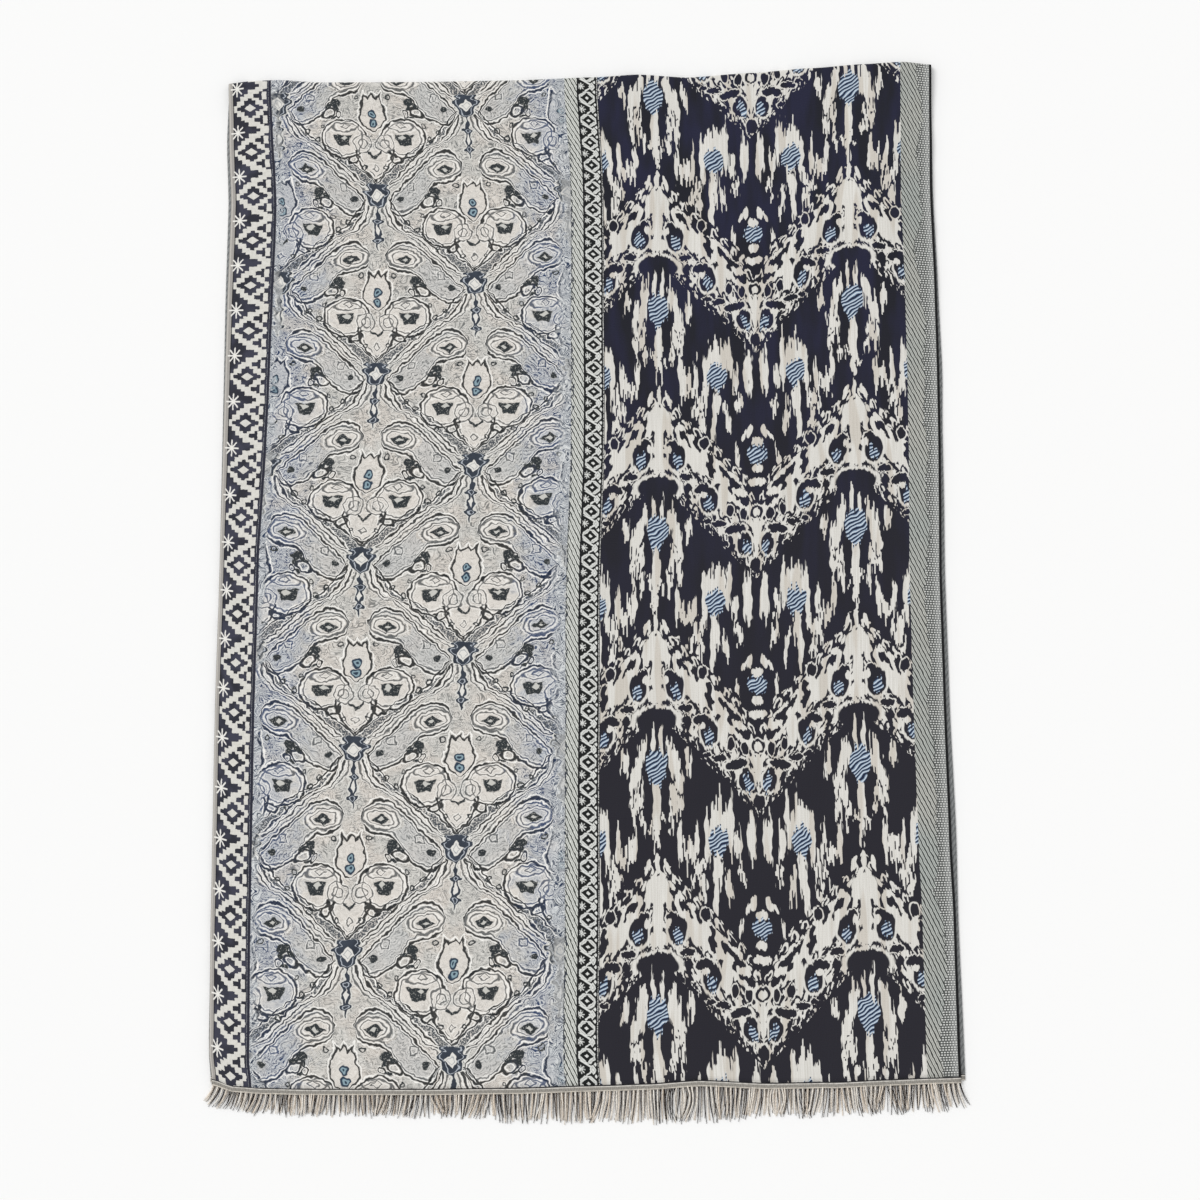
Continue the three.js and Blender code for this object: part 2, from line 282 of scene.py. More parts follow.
def weave_drift(across, up):
    """Sideways shift of the stripes at each place: straight between the rows, and between columns."""
    up = np.broadcast_to(up, np.broadcast_shapes(np.shape(across), np.shape(up)))
    shifts = np.stack([np.interp(up, DRIFT_UP, row) for row in DRIFT_MM])
    column = np.clip(np.searchsorted(DRIFT_ACROSS, across, "right") - 1, 0, len(DRIFT_ACROSS) - 2)
    left, right = np.take(DRIFT_ACROSS, column), np.take(DRIFT_ACROSS, column + 1)
    share = (across - left) / (right - left)
    lower = np.take_along_axis(shifts, np.broadcast_to(column, up.shape)[None], 0)[0]
    upper = np.take_along_axis(shifts, np.broadcast_to(column + 1, up.shape)[None], 0)[0]
    return (lower + (upper - lower) * share) * MM


def cloth_middle(across):
    """Grid of middle points, rows along the cloth, and each row's distance along it."""
    span = between(END_LINES, "across", "fold", across) - between(END_LINES, "across", "end", across)
    top_share = 1 - FOLD_RADIUS / span
    share = np.linspace(0, 1, UPPER_ROWS + 1)[:, None]
    x, y = plan("upper", across[None], share * top_share)
    fold_distance = plan("upper", across, top_share)[1][None] - y
    small = swell_height(CREASES, x, y) + pucker_height(x, y)
    small *= 1 - np.exp(-((fold_distance / FOLD_REACH) ** 2))
    height = np.maximum(upper_height(x, y, fold_distance) + small, LOW_RISE + CLOTH_WALL)
    upper = np.stack([x + weave_drift(across[None], share), y, height], -1)
    angle = math.pi * (0.5 - np.linspace(0, 1, FOLD_ROWS + 1)[1:-1])[:, None]
    x, y, _ = upper[-1].T[:, None]
    round_z = LOW_RISE + FOLD_RADIUS * (1 + np.sin(angle))
    turned = np.stack(np.broadcast_arrays(x, y + FOLD_RADIUS * np.cos(angle), round_z), -1)
    share = np.linspace(1, 0, LOWER_ROWS + 1)[:, None]
    x, y = plan("lower", across[None], share * top_share)
    lower = np.stack(np.broadcast_arrays(x + weave_drift(across[None], share), y, LOW_RISE), -1)
    round_start = LAYER_LENGTH - FOLD_RADIUS
    round_stop = round_start + math.pi * FOLD_RADIUS
    along = np.concatenate([
        np.linspace(0, round_start, UPPER_ROWS + 1),
        np.linspace(round_start, round_stop, FOLD_ROWS + 1)[1:-1],
        np.linspace(round_stop, CLOTH_LENGTH, LOWER_ROWS + 1),
    ])
    return np.concatenate([upper, turned, lower]), along


# %% [markdown]
# ## Shells from grids
# Every woven piece here is a grid of points with a skin on each side and a rim all round. The two
# skins lie half a wall either side of the middle surface, along its normals, so that the cloth
# has a true thickness at its edges. Two UV maps go on it: one in metres, which the weave's shader
# maths reads, and one that spreads all faces over a square, for whoever bakes the finish later.


# %% Shell builder
def grid_normals(points):
    """Unit normals of a grid: the cross product of its slopes across and along."""
    normal = np.cross(np.gradient(points, axis=1), np.gradient(points, axis=0))
    return normal / np.linalg.norm(normal, axis=-1, keepdims=True)


def grid_faces(rows, columns, start=0, flip=False):
    """Quads of a grid of (rows + 1) by (columns + 1) points, as one array."""
    corner = start + np.arange(rows)[:, None] * (columns + 1) + np.arange(columns)[None]
    quads = np.stack([corner, corner + 1, corner + columns + 2, corner + columns + 1], -1).reshape(-1, 4)
    return quads[:, ::-1] if flip else quads


def rim_faces(rows, columns, inner_start):
    """Quads that close the wall all round a grid, from its outer to its inner skin."""
    index = np.arange((rows + 1) * (columns + 1)).reshape(rows + 1, columns + 1)
    rim = np.concatenate([index[0, :-1], index[:-1, -1], index[-1, :0:-1], index[:0:-1, 0]])
    after = np.roll(rim, -1)
    return np.stack([rim, rim + inner_start, after + inner_start, after], -1)


def shell(middle, wall):
    """Both skins and the rim of a wall on a grid of middle points: points, then faces."""
    rows, columns = middle.shape[0] - 1, middle.shape[1] - 1
    step = grid_normals(middle) * wall / 2
    points = np.concatenate([(middle + step).reshape(-1, 3), (middle - step).reshape(-1, 3)])
    inner_start = (rows + 1) * (columns + 1)
    faces = np.concatenate([
        grid_faces(rows, columns),
        grid_faces(rows, columns, inner_start, flip=True),
        rim_faces(rows, columns, inner_start),
    ])
    return points, faces


def weave_map(across, along, faces):
    """Metres across and along at each face corner, the same on both skins."""
    u, v = np.broadcast_arrays(across[None] * CLOTH_WIDTH, along[:, None])
    return np.tile(np.stack([u, v], -1).reshape(-1, 2), (2, 1))[faces.reshape(-1)]


def into_frame(points):
    """Moves points from the tables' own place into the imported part's frame, none under the floor."""
    moved = points + np.array([shift_x, shift_y, 0.0])
    moved[..., 2] = np.maximum(moved[..., 2], 0.0)
    return moved


def make_mesh(name, points, faces, uvs=None):
    """A smooth mesh object from arrays. uvs holds one array of corner places for each map."""
    mesh = bpy.data.meshes.new(name)
    mesh.from_pydata(points.tolist(), [], faces if isinstance(faces, list) else faces.tolist())
    for map_name, places in (uvs or {}).items():
        layer = mesh.uv_layers.new(name=map_name)
        layer.data.foreach_set("uv", places.reshape(-1).astype(np.float32))
    mesh.polygons.foreach_set("use_smooth", np.full(len(faces), True))
    made = bpy.data.objects.new(name, mesh)
    bpy.context.collection.objects.link(made)
    print(name, "has", len(points), "points and", len(faces), "faces")
    return made


# %% The cloth
# Rectangles of the bake map, as left, low, right, high
BIG_PATCH = (0.004, 0.004, 0.80, 0.996)
SIDE_PATCHES = {"under": (0.81, 0.004, 0.996, 0.30), "inside": (0.81, 0.31, 0.996, 0.78)}
RIM_STRIPS = [(0.81, 0.80 + 0.045 * side, 0.996, 0.83 + 0.045 * side) for side in range(4)]


def into_patch(patch, u, v):
    """Places from 0 to 1 both ways, moved into a rectangle given as left, low, right, high."""
    left, low, right, high = patch
    return np.stack(np.broadcast_arrays(left + (right - left) * u, low + (high - low) * v), -1)


def corner_places(patch, rows, columns, flip=False):
    """Bake places at each corner of some rows of a grid, in the grid's own corner order."""
    row = np.arange(rows)[:, None] / rows
    column = np.arange(columns)[None] / columns
    across_step, along_step = 1 / columns, 1 / rows
    corners = [(0, 0), (1, 0), (1, 1), (0, 1)]
    if flip:
        corners = corners[::-1]
    return np.stack([
        into_patch(patch, column + i * across_step, row + j * along_step) for i, j in corners
    ], -2).reshape(-1, 4, 2)


def bake_map(rows, columns):
    """Gives the side that shows four fifths of the square, and the rest to all that is hidden."""
    shown = UPPER_ROWS + FOLD_ROWS
    places = [
        corner_places(BIG_PATCH, shown, columns),
        corner_places(SIDE_PATCHES["under"], rows - shown, columns),
        corner_places(SIDE_PATCHES["inside"], rows, columns, flip=True),
    ]
    for strip, count in zip(RIM_STRIPS, (columns, rows, columns, rows)):
        start, stop = np.arange(count) / count, (np.arange(count) + 1) / count
        places.append(np.stack([
            into_patch(strip, start, 0), into_patch(strip, start, 1),
            into_patch(strip, stop, 1), into_patch(strip, stop, 0),
        ], -2))
    return np.concatenate(places)


column_places, zone_of_column = zone_columns()
middle, along = cloth_middle(column_places)
rows, columns = len(along) - 1, len(column_places) - 1
points, faces = shell(middle, CLOTH_WALL)
cloth = make_mesh("shawl_cloth", into_frame(points), faces, {
    "Weave": weave_map(column_places, along, faces),
    "OFBake": bake_map(rows, columns),
})

# %% [markdown]
# ## The fringed ends
# A weaver leaves the warp yarns long at each end, past a few millimetres of plain weave that
# stops the cloth from ravelling. The band is one more shell. Each cord is a round bar carried
# along its own path, all of them in one array: it leaves the band, sinks to the surface, leans
# towards its tuft and wavers. Light and dark cords take turns, and the dark ones are thinner. The
# upper end's cords lie over the lower end's.

# %% Bands and cords
SEAM_GAP = 0.3 * MM
BAND_WIDTH = 5.5 * MM
CORD_ROOT = 1.3 * MM
CORD_RADIUS = 0.66 * MM
DARK_THICKNESS = 0.58
CORD_SIDES, CORD_RINGS = 5, 12
CORDS_PER_END = 310
CORDS_PER_TUFT = 7.0
TUFT_LENGTH = (0.88, 1.0)  # shortest and longest tuft, as shares of the fringe's length
TUFT_PULL = (-0.25, 0.4)  # share of the way to a tuft's middle that its tips go
OWN_LENGTH = (-0.03, 0.05)  # mean and spread that a cord adds to its tuft's share
DARK_EXTRA = 0.06  # dark cords are this share longer
SWAPPED_SHARE = 0.16  # cords of the other colour than their turn gives
JITTER = 0.22  # how far a cord's root leaves its even place, in cord pitches
SWAY = 0.55 * MM  # spread of the tips' own lean, twice that for dark cords
WAVER = (0.1 * MM, 0.45 * MM)  # least and greatest bend of a cord along its way
PILE = 1.5 * MM  # how high the upper end's cords lie on the lower end's
END_SPLAY = 11 * MM  # lean of the outermost tips, past the selvedges
SPLAY_REACH = 22 * MM  # width over which that lean dies away
COMBED = -2.6 * MM  # lean of the tips at the left, fading to none at the right
# Pitch, pull and phase of each slow wave of the tips, and place and half width of each tangle
TIP_WAVES = [(29 * MM, 1.7 * MM, 0.4), (67 * MM, 2.1 * MM, 2.1), (171 * MM, 1.6 * MM, 4.0)]
TANGLES = [(92 * MM, 9 * MM), (182 * MM, 6 * MM), (-268 * MM, 5 * MM)]


def end_height(layer, x, y):
    """Height of a layer's middle at its open end, the same as the cloth's own edge."""
    if layer == "lower":
        return np.full_like(x, LOW_RISE)
    small = swell_height(CREASES, x, y)
    return np.maximum(LAYER_RISE + swell_height(SWELLS, x, y) + small, LOW_RISE + CLOTH_WALL)


def band_middle(layer, across):
    """Grid of the band's middle: rows from its outer edge to the gap at the cloth's end."""
    beyond = np.linspace(SEAM_GAP + BAND_WIDTH, SEAM_GAP, 5)[:, None]
    x, y = plan(layer, across[None], 0.0)
    ripple = 0.25 * MM * np.sin(x / (4.1 * MM)) * np.sin(x / (17 * MM) + 1)
    rise = end_height(layer, x, y) + (ripple if layer == "upper" else 0)
    return np.stack(np.broadcast_arrays(x, y - beyond, rise), -1), -beyond[:, 0]


def tip_lean(x):
    """Lean of a tip: exp(-distance / reach) past each selvedge, plus slow waves and a combing."""
    left, right = between(SIDE_EDGES, "up", "left", 0.0), between(SIDE_EDGES, "up", "right", 0.0)
    splay = np.exp((x - right) / SPLAY_REACH) - np.exp((left - x) / SPLAY_REACH)
    waves = sum(pull * np.sin(2 * math.pi * x / pitch + start) for pitch, pull, start in TIP_WAVES)
    return END_SPLAY * splay + waves + COMBED * np.clip((right - x) / (right - left), 0, 1)


def cord_paths(layer):
    """Middle points of all cords of one end: cord by ring by (x, y, z), and each cord's tone."""
    count = CORDS_PER_END
    place = (np.arange(count) + 0.5 + random.uniform(-JITTER, JITTER, count)) / count
    x, y = plan("upper", place, 0.0)
    dark = (np.arange(count) % 2 == 1) ^ (random.random(count) < SWAPPED_SHARE)
    share = np.linspace(0, 1, CORD_RINGS)[None]
    tuft_of = np.cumsum(random.random(count) < 1 / CORDS_PER_TUFT)
    tuft_middle = np.bincount(tuft_of, x) / np.maximum(np.bincount(tuft_of), 1)
    tuft_length = random.uniform(*TUFT_LENGTH, tuft_of.max() + 1)
    tuft_pull = random.uniform(*TUFT_PULL, tuft_of.max() + 1)
    full = between(END_LINES, "across", "fringe", place)
    own_share = tuft_length[tuft_of] + DARK_EXTRA * dark + random.normal(*OWN_LENGTH, count)
    length = full * np.clip(own_share, 0.7, 1.06)
    root = SEAM_GAP + BAND_WIDTH - CORD_ROOT
    reach = root + (length - root)[:, None] * share
    pull = (tuft_middle[tuft_of] - x) * tuft_pull[tuft_of]
    sway = (random.normal(0, SWAY, count) * (1 + dark))[:, None] * share**1.5
    waver = random.uniform(*WAVER, count)[:, None] * share
    waver = waver * np.sin(2 * math.pi * (share * random.uniform(0.5, 1.3, count)[:, None]
                                          + random.random(count)[:, None]))
    lean = (tip_lean(x) * (length / full) ** 2)[:, None] * share**1.6
    side = x[:, None] + lean + pull[:, None] * share**1.3 + sway + waver
    for middle_x, half_width in TANGLES:
        away = (x - middle_x) / half_width
        held = np.exp(-(away**2)) * (layer == "upper")
        side += (held * half_width * away)[:, None] * (1.1 * np.sin(math.pi * share) - 0.8 * share)
    start = end_height(layer, x, y)[:, None]
    low = CORD_RADIUS * 1.05 + (layer == "upper") * random.uniform(0, PILE, count)[:, None]
    sink = share * share * (3 - 2 * share)
    settle = low * (1 - 0.75 * share**3) + CORD_RADIUS * 0.75 * share**3
    height = start * (1 - sink) + settle * sink
    tone = np.where(dark, random.uniform(0.8, 1.0, count), random.uniform(0.0, 0.4, count))
    return np.stack(np.broadcast_arrays(side, y[:, None] - reach, height), -1), tone


def cord_tubes(paths, thickness):
    """Rings carried along all paths at once: points of cord by ring by side, and their faces."""
    count, rings, _ = paths.shape
    tangent = np.gradient(paths, axis=1)
    tangent /= np.linalg.norm(tangent, axis=-1, keepdims=True)
    sideways = np.cross(tangent, (0, 0, 1.0))
    sideways /= np.linalg.norm(sideways, axis=-1, keepdims=True)
    upward = np.cross(sideways, tangent)
    angle = 2 * math.pi * np.arange(CORD_SIDES) / CORD_SIDES + math.pi / 2
    share = np.linspace(0, 1, rings)[None, :, None, None]
    radius = CORD_RADIUS * (1 - 0.4 * share**2) * thickness[:, None, None, None]
    circle = sideways[:, :, None] * np.cos(angle)[:, None]
    circle = circle + upward[:, :, None] * np.sin(angle)[:, None]
    points = (paths[:, :, None] + circle * radius).reshape(-1, 3)
    ring_size = CORD_SIDES
    cord = (np.arange(count) * rings * ring_size)[:, None, None]
    ring = (np.arange(rings - 1) * ring_size)[None, :, None]
    here = cord + ring + np.arange(CORD_SIDES)
    beside = cord + ring + (np.arange(CORD_SIDES) + 1) % CORD_SIDES
    quads = np.stack([here, here + ring_size, beside + ring_size, beside], -1).reshape(-1, 4)
    root_cap = cord[:, :, 0] + np.arange(CORD_SIDES)[None]
    tip_cap = root_cap[:, ::-1] + (rings - 1) * ring_size
    return points, quads, np.concatenate([root_cap, tip_cap])


def fringe_piece(layer):
    """One end's band and cords in one mesh, with its maps and each corner's yarn tone."""
    middle, beyond = band_middle(layer, column_places)
    band_points, band_faces = shell(middle, CLOTH_WALL)
    paths, tone = cord_paths(layer)
    thickness = random.uniform(0.9, 1.1, CORDS_PER_END) * np.where(tone > 0.6, DARK_THICKNESS, 1.0)
    tube_points, quads, caps = cord_tubes(paths, thickness)
    offset = len(band_points)
    cord_faces = (quads + offset).tolist() + (caps + offset).tolist()
    around = np.array([0, 0, 1, 1]) / CORD_SIDES + (np.arange(CORD_SIDES) / CORD_SIDES)[:, None]
    around = np.broadcast_to(around, (CORDS_PER_END, CORD_RINGS - 1, CORD_SIDES, 4))
    ring = np.arange(CORD_RINGS - 1)[None, :, None, None] + np.array([0, 1, 1, 0])
    run = np.broadcast_to(ring / (CORD_RINGS - 1), around.shape)
    quad_map = np.stack([around, run], -1).reshape(-1, 2)
    cap_map = np.tile(np.stack([np.arange(CORD_SIDES) / CORD_SIDES] * 2, -1), (2 * CORDS_PER_END, 1))
    weave = np.concatenate([weave_map(column_places, beyond, band_faces), quad_map, cap_map])
    piece = make_mesh(f"{layer}_fringe", into_frame(np.concatenate([band_points, tube_points])),
                      band_faces.tolist() + cord_faces, {"Weave": weave})
    tones = np.concatenate([np.zeros(offset), np.repeat(tone, CORD_RINGS * CORD_SIDES)])
    tone_data = piece.data.attributes.new("tone", "FLOAT", "POINT").data
    tone_data.foreach_set("value", tones.astype(np.float32))
    is_cord = np.arange(len(piece.data.polygons)) >= len(band_faces)
    piece.data.polygons.foreach_set("material_index", is_cord.astype(int))
    return piece


fringes = [fringe_piece(layer) for layer in ("upper", "lower")]

# %% [markdown]
# ## Shader maths as Python
# A woven pattern is arithmetic on two numbers, the place across and the place along. `Field`
# wraps a shader socket, so that Python's own operators add Math nodes, and `Board` adds every
# other kind of node by its type, settings and socket values. Both only save typing.


# %% Field and Board
class Field:
    """A number that varies over the surface. Operators on it add Math nodes."""

    def __init__(self, board, socket):
        self.board, self.socket = board, socket

    def __add__(self, other):
        return self.board.math("ADD", self, other)

    __radd__ = __add__

    def __sub__(self, other):
        return self.board.math("SUBTRACT", self, other)

    def __rsub__(self, other):
        return self.board.math("SUBTRACT", other, self)

    def __mul__(self, other):
        return self.board.math("MULTIPLY", self, other)

    __rmul__ = __mul__

    def __truediv__(self, other):
        return self.board.math("DIVIDE", self, other)

    def __pow__(self, other):
        return self.board.math("POWER", self, other)

    def __lt__(self, other):
        return self.board.math("LESS_THAN", self, other)

    def __gt__(self, other):
        return self.board.math("GREATER_THAN", self, other)

    def __abs__(self):
        return self.board.math("ABSOLUTE", self)

    def floor(self):
        return self.board.math("FLOOR", self)

    def fraction(self):
        return self.board.math("FRACT", self)

    def sine(self):
        return self.board.math("SINE", self)

    def fold(self, size):
        """Goes up to size and back down again, over and over."""
        return self.board.math("PINGPONG", self, size)

    def least(self, other):
        return self.board.math("MINIMUM", self, other)

    def most(self, other):
        return self.board.math("MAXIMUM", self, other)

    def below(self, level, softness):
        """1 well under the level, 0 well over it, with a soft step of the given width."""
        return self.board.math("MULTIPLY_ADD", self, -1 / softness, level / softness + 0.5, clamp=True)

    def near(self, level, half_width, softness):
        """1 on a line where the field is at the level, 0 away from it."""
        return abs(self - level).below(half_width, softness)


class Board:
    """One material's nodes."""

    def __init__(self, name, roughness=0.9, sheen=0.0):
        self.material = bpy.data.materials.new(name)
        self.material.use_nodes = True
        self.tree = self.material.node_tree
        self.tree.nodes.clear()
        self.shader = self.add("ShaderNodeBsdfPrincipled", values={
            "Roughness": roughness, "Sheen Weight": sheen, "Specular IOR Level": 0.25})
        self.add("ShaderNodeOutputMaterial", values={"Surface": self.shader.outputs["BSDF"]})

    def add(self, kind, settings=None, values=None, stops=None):
        """Adds a node: its settings first, then curve or ramp stops, then its sockets' values."""
        node = self.tree.nodes.new(kind)
        for key, setting in (settings or {}).items():
            setattr(node, key, setting)
        if kind == "ShaderNodeFloatCurve":
            curve = node.mapping.curves[0]
            for _ in stops[1:-1]:
                curve.points.new(0.5, 0.5)
            for point, (x, y) in zip(curve.points, stops):
                point.location = (x, y)
            node.mapping.update()
        for place, value in (values or {}).items():
            self.feed(node.inputs[place], value)
        return node

    def feed(self, socket, value):
        if isinstance(value, Field):
            value = value.socket
        if isinstance(value, bpy.types.NodeSocket):
            self.tree.links.new(value, socket)
        else:
            socket.default_value = value

    def math(self, operation, *values, clamp=False):
        settings = {"operation": operation, "use_clamp": clamp}
        node = self.add("ShaderNodeMath", settings, dict(enumerate(values)))
        return Field(self, node.outputs[0])

    def weave_place(self):
        """Millimetres across the cloth, and millimetres from the fold towards the upper end."""
        uv = self.add("ShaderNodeUVMap", {"uv_map": "Weave"}).outputs[0]
        split = self.add("ShaderNodeSeparateXYZ", values={0: uv})
        across_mm = Field(self, split.outputs[0]) * 1000
        down_mm = LAYER_LENGTH * 1000 - Field(self, split.outputs[1]) * 1000
        return across_mm, down_mm

    def vector(self, operation, *values, output="Vector"):
        node = self.add("ShaderNodeVectorMath", {"operation": operation}, dict(enumerate(values)))
        return node.outputs[output]

    def point(self, x, y):
        """A place on the cloth, with 1 as its third number, so that a dot product can move it."""
        return self.add("ShaderNodeCombineXYZ", values={0: x, 1: y, 2: 1.0}).outputs[0]

    def noise(self, point, scale, detail=1.0, roughness=0.5, distortion=0.0):
        node = self.add("ShaderNodeTexNoise", {"noise_dimensions": "2D"}, {
            "Vector": point, "Scale": scale, "Detail": detail, "Roughness": roughness,
            "Distortion": distortion})
        return Field(self, node.outputs[0])

    def oval(self, point, x, y, half_width, half_height, turn=0.0):
        """Distance from an oval's middle in its own radii: 1 on its outline, less inside."""
        if turn:
            cosine, sine = math.cos(math.radians(turn)), math.sin(math.radians(turn))
            wide = (cosine / half_width, sine / half_width, -(cosine * x + sine * y) / half_width)
            high = (-sine / half_height, cosine / half_height, (sine * x - cosine * y) / half_height)
            places = [self.vector("DOT_PRODUCT", point, axis, output="Value") for axis in (wide, high)]
            placed = self.add("ShaderNodeCombineXYZ", values=dict(enumerate(places))).outputs[0]
        else:
            scale = (1 / half_width, 1 / half_height, 0)
            placed = self.vector("MULTIPLY_ADD", point, scale, (-x / half_width, -y / half_height, 0))
        return Field(self, self.vector("LENGTH", placed, output="Value"))

    def nearest_oval(self, point, rows):
        """The least distance to any oval of a table of x, y, half width, half height and turn."""
        field = self.oval(point, *rows[0])
        for row in rows[1:]:
            field = field.least(self.oval(point, *row))
        return field

    def mix(self, factor, first, second):
        """first where the factor is 0, second where it is 1: colours, as (r, g, b) or sockets."""
        node = self.add("ShaderNodeMix", {"data_type": "RGBA"}, {
            0: factor, 6: paint(first), 7: paint(second)})
        return node.outputs[2]

    def choose(self, factor, first, second):
        """first where the factor is 0, second where it is 1, for numbers."""
        node = self.add("ShaderNodeMix", {"data_type": "FLOAT"}, {0: factor, 2: first, 3: second})
        return Field(self, node.outputs[0])

    def curve(self, value, span, reach, stops):
        """A drawn profile: value from 0 to span gives 0 to reach, through the stops."""
        shares = [(x / span, y / reach) for x, y in stops]
        node = self.add("ShaderNodeFloatCurve", values={"Value": value / span}, stops=shares)
        return Field(self, node.outputs[0]) * reach

    def finish(self, colour, height=None, distance=0.3 * MM):
        """Feeds the colour, and the height as bump of the given depth."""
        self.feed(self.shader.inputs["Base Color"], colour)
        if height is not None:
            bump = self.add("ShaderNodeBump", values={
                "Strength": 0.5, "Distance": distance, "Height": height})
            self.feed(self.shader.inputs["Normal"], bump.outputs[0])
        print(self.material.name, "uses", len(self.tree.nodes), "nodes")
        return self.material


def linear(hex_colour):
    """Scene-linear (r, g, b) of a colour written as on a screen."""
    shares = [int(hex_colour[i:i + 2], 16) / 255 for i in (1, 3, 5)]
    return tuple(s / 12.92 if s <= 0.04045 else ((s + 0.055) / 1.055) ** 2.4 for s in shares)


def paint(colour):
    """A colour for a socket: (r, g, b) gets its alpha, and a socket stays as it is."""
    if isinstance(colour, str):
        colour = linear(colour)
    return (*colour, 1.0) if isinstance(colour, tuple) and len(colour) == 3 else colour


# %% [markdown]
# ## What all stripes share
# The loom's beat grows slightly looser along the cloth, so each stripe's repeat has a phase that
# is a quadratic of the distance from the fold. All the weaves have the same fine ribs as bump.
# Their figures are built from two plain shapes, a diamond and a rectangle, besides the ovals.

# %% Beat, grain and plain shapes
def beat_phase(down, start, slope, loosening):
    """Number of repeats from the fold: start + slope * d + loosening * d^2."""
    return (down * loosening + slope) * down + start


def weave_grain(board, across_mm, down_mm):
    """Height of the yarns: fine ribs both ways, broken up by an uneven noise."""
    picks = (down_mm * (2 * math.pi / 1.6)).sine()
    ends = (across_mm * (2 * math.pi / 1.3)).sine()
    grain = board.noise(board.point(across_mm * 1.6, down_mm * 0.9), 1.0, detail=2.0)
    return (picks + ends) * 0.25 + grain


def diamond(x, y, half_width, half_height):
    """Distance from a diamond's middle, |x| / a + |y| / b: 1 on its outline, less inside."""
    return abs(x) / half_width + abs(y) / half_height


def block(x, y, half_width, half_height):
    """1 inside a rectangle round the origin, 0 outside."""
    return (abs(x) < half_width) * (abs(y) < half_height)


def star(x, y, reach, ray):
    """Eight thin rays: the least distance to an upright, a level and two slanted lines."""
    rays = x.least(y).least(abs(x - y) * 0.707)
    return rays.below(ray, 0.3) * (x * x + y * y).below(reach * reach, reach * 2)


def from_middle(phase, repeat):
    """Millimetres from the middle of the nearest repeat."""
    return ((phase + 0.5).fraction() - 0.5) * repeat


# %% [markdown]
# ## The kilim border
# Stepped diamonds with a hollow ring stand in a navy ground, with a small eight-rayed star
# between them. Steps come from snapping the place to whole picks before a diamond's distance is
# taken: the same maths as a smooth diamond, on coarser numbers.

# %% Kilim border
KILIM_REPEAT = 47.2
KILIM_MIDDLE = 20.9
STEP_ACROSS, STEP_ALONG = 3.7, 2.3
DIAMOND_HALF = 18.4
RING_HALF = (13.4, 9.6)
HEART_HALF = (5.7, 4.1)
CROSS_ARMS = [(2.2, 8.6), (12.6, 1.9)]
STAR_X, STAR_REACH, STAR_RAY = -12.4, 7.6, 0.7
SELVEDGE_WIDTH, KILIM_STOP = 4.2, 38.9


def snapped(value, step):
    """The nearest whole number of steps."""
    return (value / step + 0.5).floor() * step


def kilim_material():
    board = Board("kilim_weave")
    across_mm, down_mm = board.weave_place()
    flat = board.point(across_mm, down_mm)
    wobble = board.noise(flat, 0.3, detail=1.0) - 0.5
    phase = beat_phase(down_mm, -0.6154, 0.02211, -1.0166e-6)
    x = across_mm - KILIM_MIDDLE + wobble * 1.2
    y = from_middle(phase, KILIM_REPEAT) + wobble
    step_x = snapped(x, STEP_ACROSS)
    step_y = abs(snapped(y, STEP_ALONG))
    figure = diamond(step_x, step_y, DIAMOND_HALF, DIAMOND_HALF) < 1.05
    ring = diamond(step_x, step_y, *RING_HALF) < 1.02
    for arm in CROSS_ARMS:
        ring = ring.most(block(x, y, *arm))
    heart = diamond(x, y, *HEART_HALF) < 1.0
    # slanted joins, a link and small blocks run from one diamond to the next on the inner side
    join = (abs(step_y - 14.4 - step_x * 0.5) < 3.1) * (step_x > -2.0)
    link = (step_y > 20.8) * (x > 10.0)
    tooth = block(x - 14.4, abs(y) - 12.6, 2.2, 4.2)
    notch = block(x - 7.2, abs(y) - 12.6, 3.3, 2.1)
    slot = block(x - 15.6, abs(y) - 7.2, 0.9, 1.3)
    star_y = abs((phase - 0.045).fraction() - 0.5) * KILIM_REPEAT * 0.9
    rays = star(abs(x - STAR_X) * 1.15, star_y, STAR_REACH, STAR_RAY)
    ecru = figure.most(join).most(link).most(tooth)
    ecru = ecru * (1 - ring * (1 - heart)) * (1 - notch) * (1 - slot)
    ecru = ecru * (x < 17.4) * (x > -17.5)
    comb = ((across_mm / 1.35).fraction() < 0.2) * (board.noise(flat, 0.5) > 0.52) * 0.3
    navy = board.mix(board.noise(flat, 0.06, detail=1.0).below(0.5, 0.2), "#40414f", "#2f3039")
    colour = board.mix(ecru, navy, board.mix(wobble + 0.5 - comb, "#cfcdc6", "#e6e4dd"))
    selvedge = board.mix(across_mm.near(1.1, 0.5, 0.6), "#a5a19c", "#c6c2bb")
    colour = board.mix(across_mm < SELVEDGE_WIDTH, colour, selvedge)
    colour = board.mix(across_mm.near(SELVEDGE_WIDTH + 0.5, 0.4, 0.3), colour, "#1e1f24")
    colour = board.mix(across_mm > KILIM_STOP, colour, "#2a2c3a")
    colour = board.mix(rays, colour, "#eeece6")
    return board.finish(colour, weave_grain(board, across_mm, down_mm) + ecru * 0.6)


# %% [markdown]
# ## The paisley panel
# Its field is an ogee lattice: pointed cells in two sets of columns, half a repeat apart. Folding
# the place into one cell lets every motif be written once, on one half of it. The cell's outline,
# the leaf and the tulip are profiles drawn through a few points, and a low noise bends every line
# a little, as the loom and the wear do. Each line is a distance in millimetres: dark close to
# it, light just beside it, so that it looks engraved, as the raised and sunk yarns do.
#
# Profiles are (along, half width) down the cell, but (across, along) for the leaf. Ovals are
# (x, y, half width, half height, turn in degrees). The last three profiles follow the panel down
# from the fold: the place of its axis, how far it is drawn in, and how much the beat has slackened.

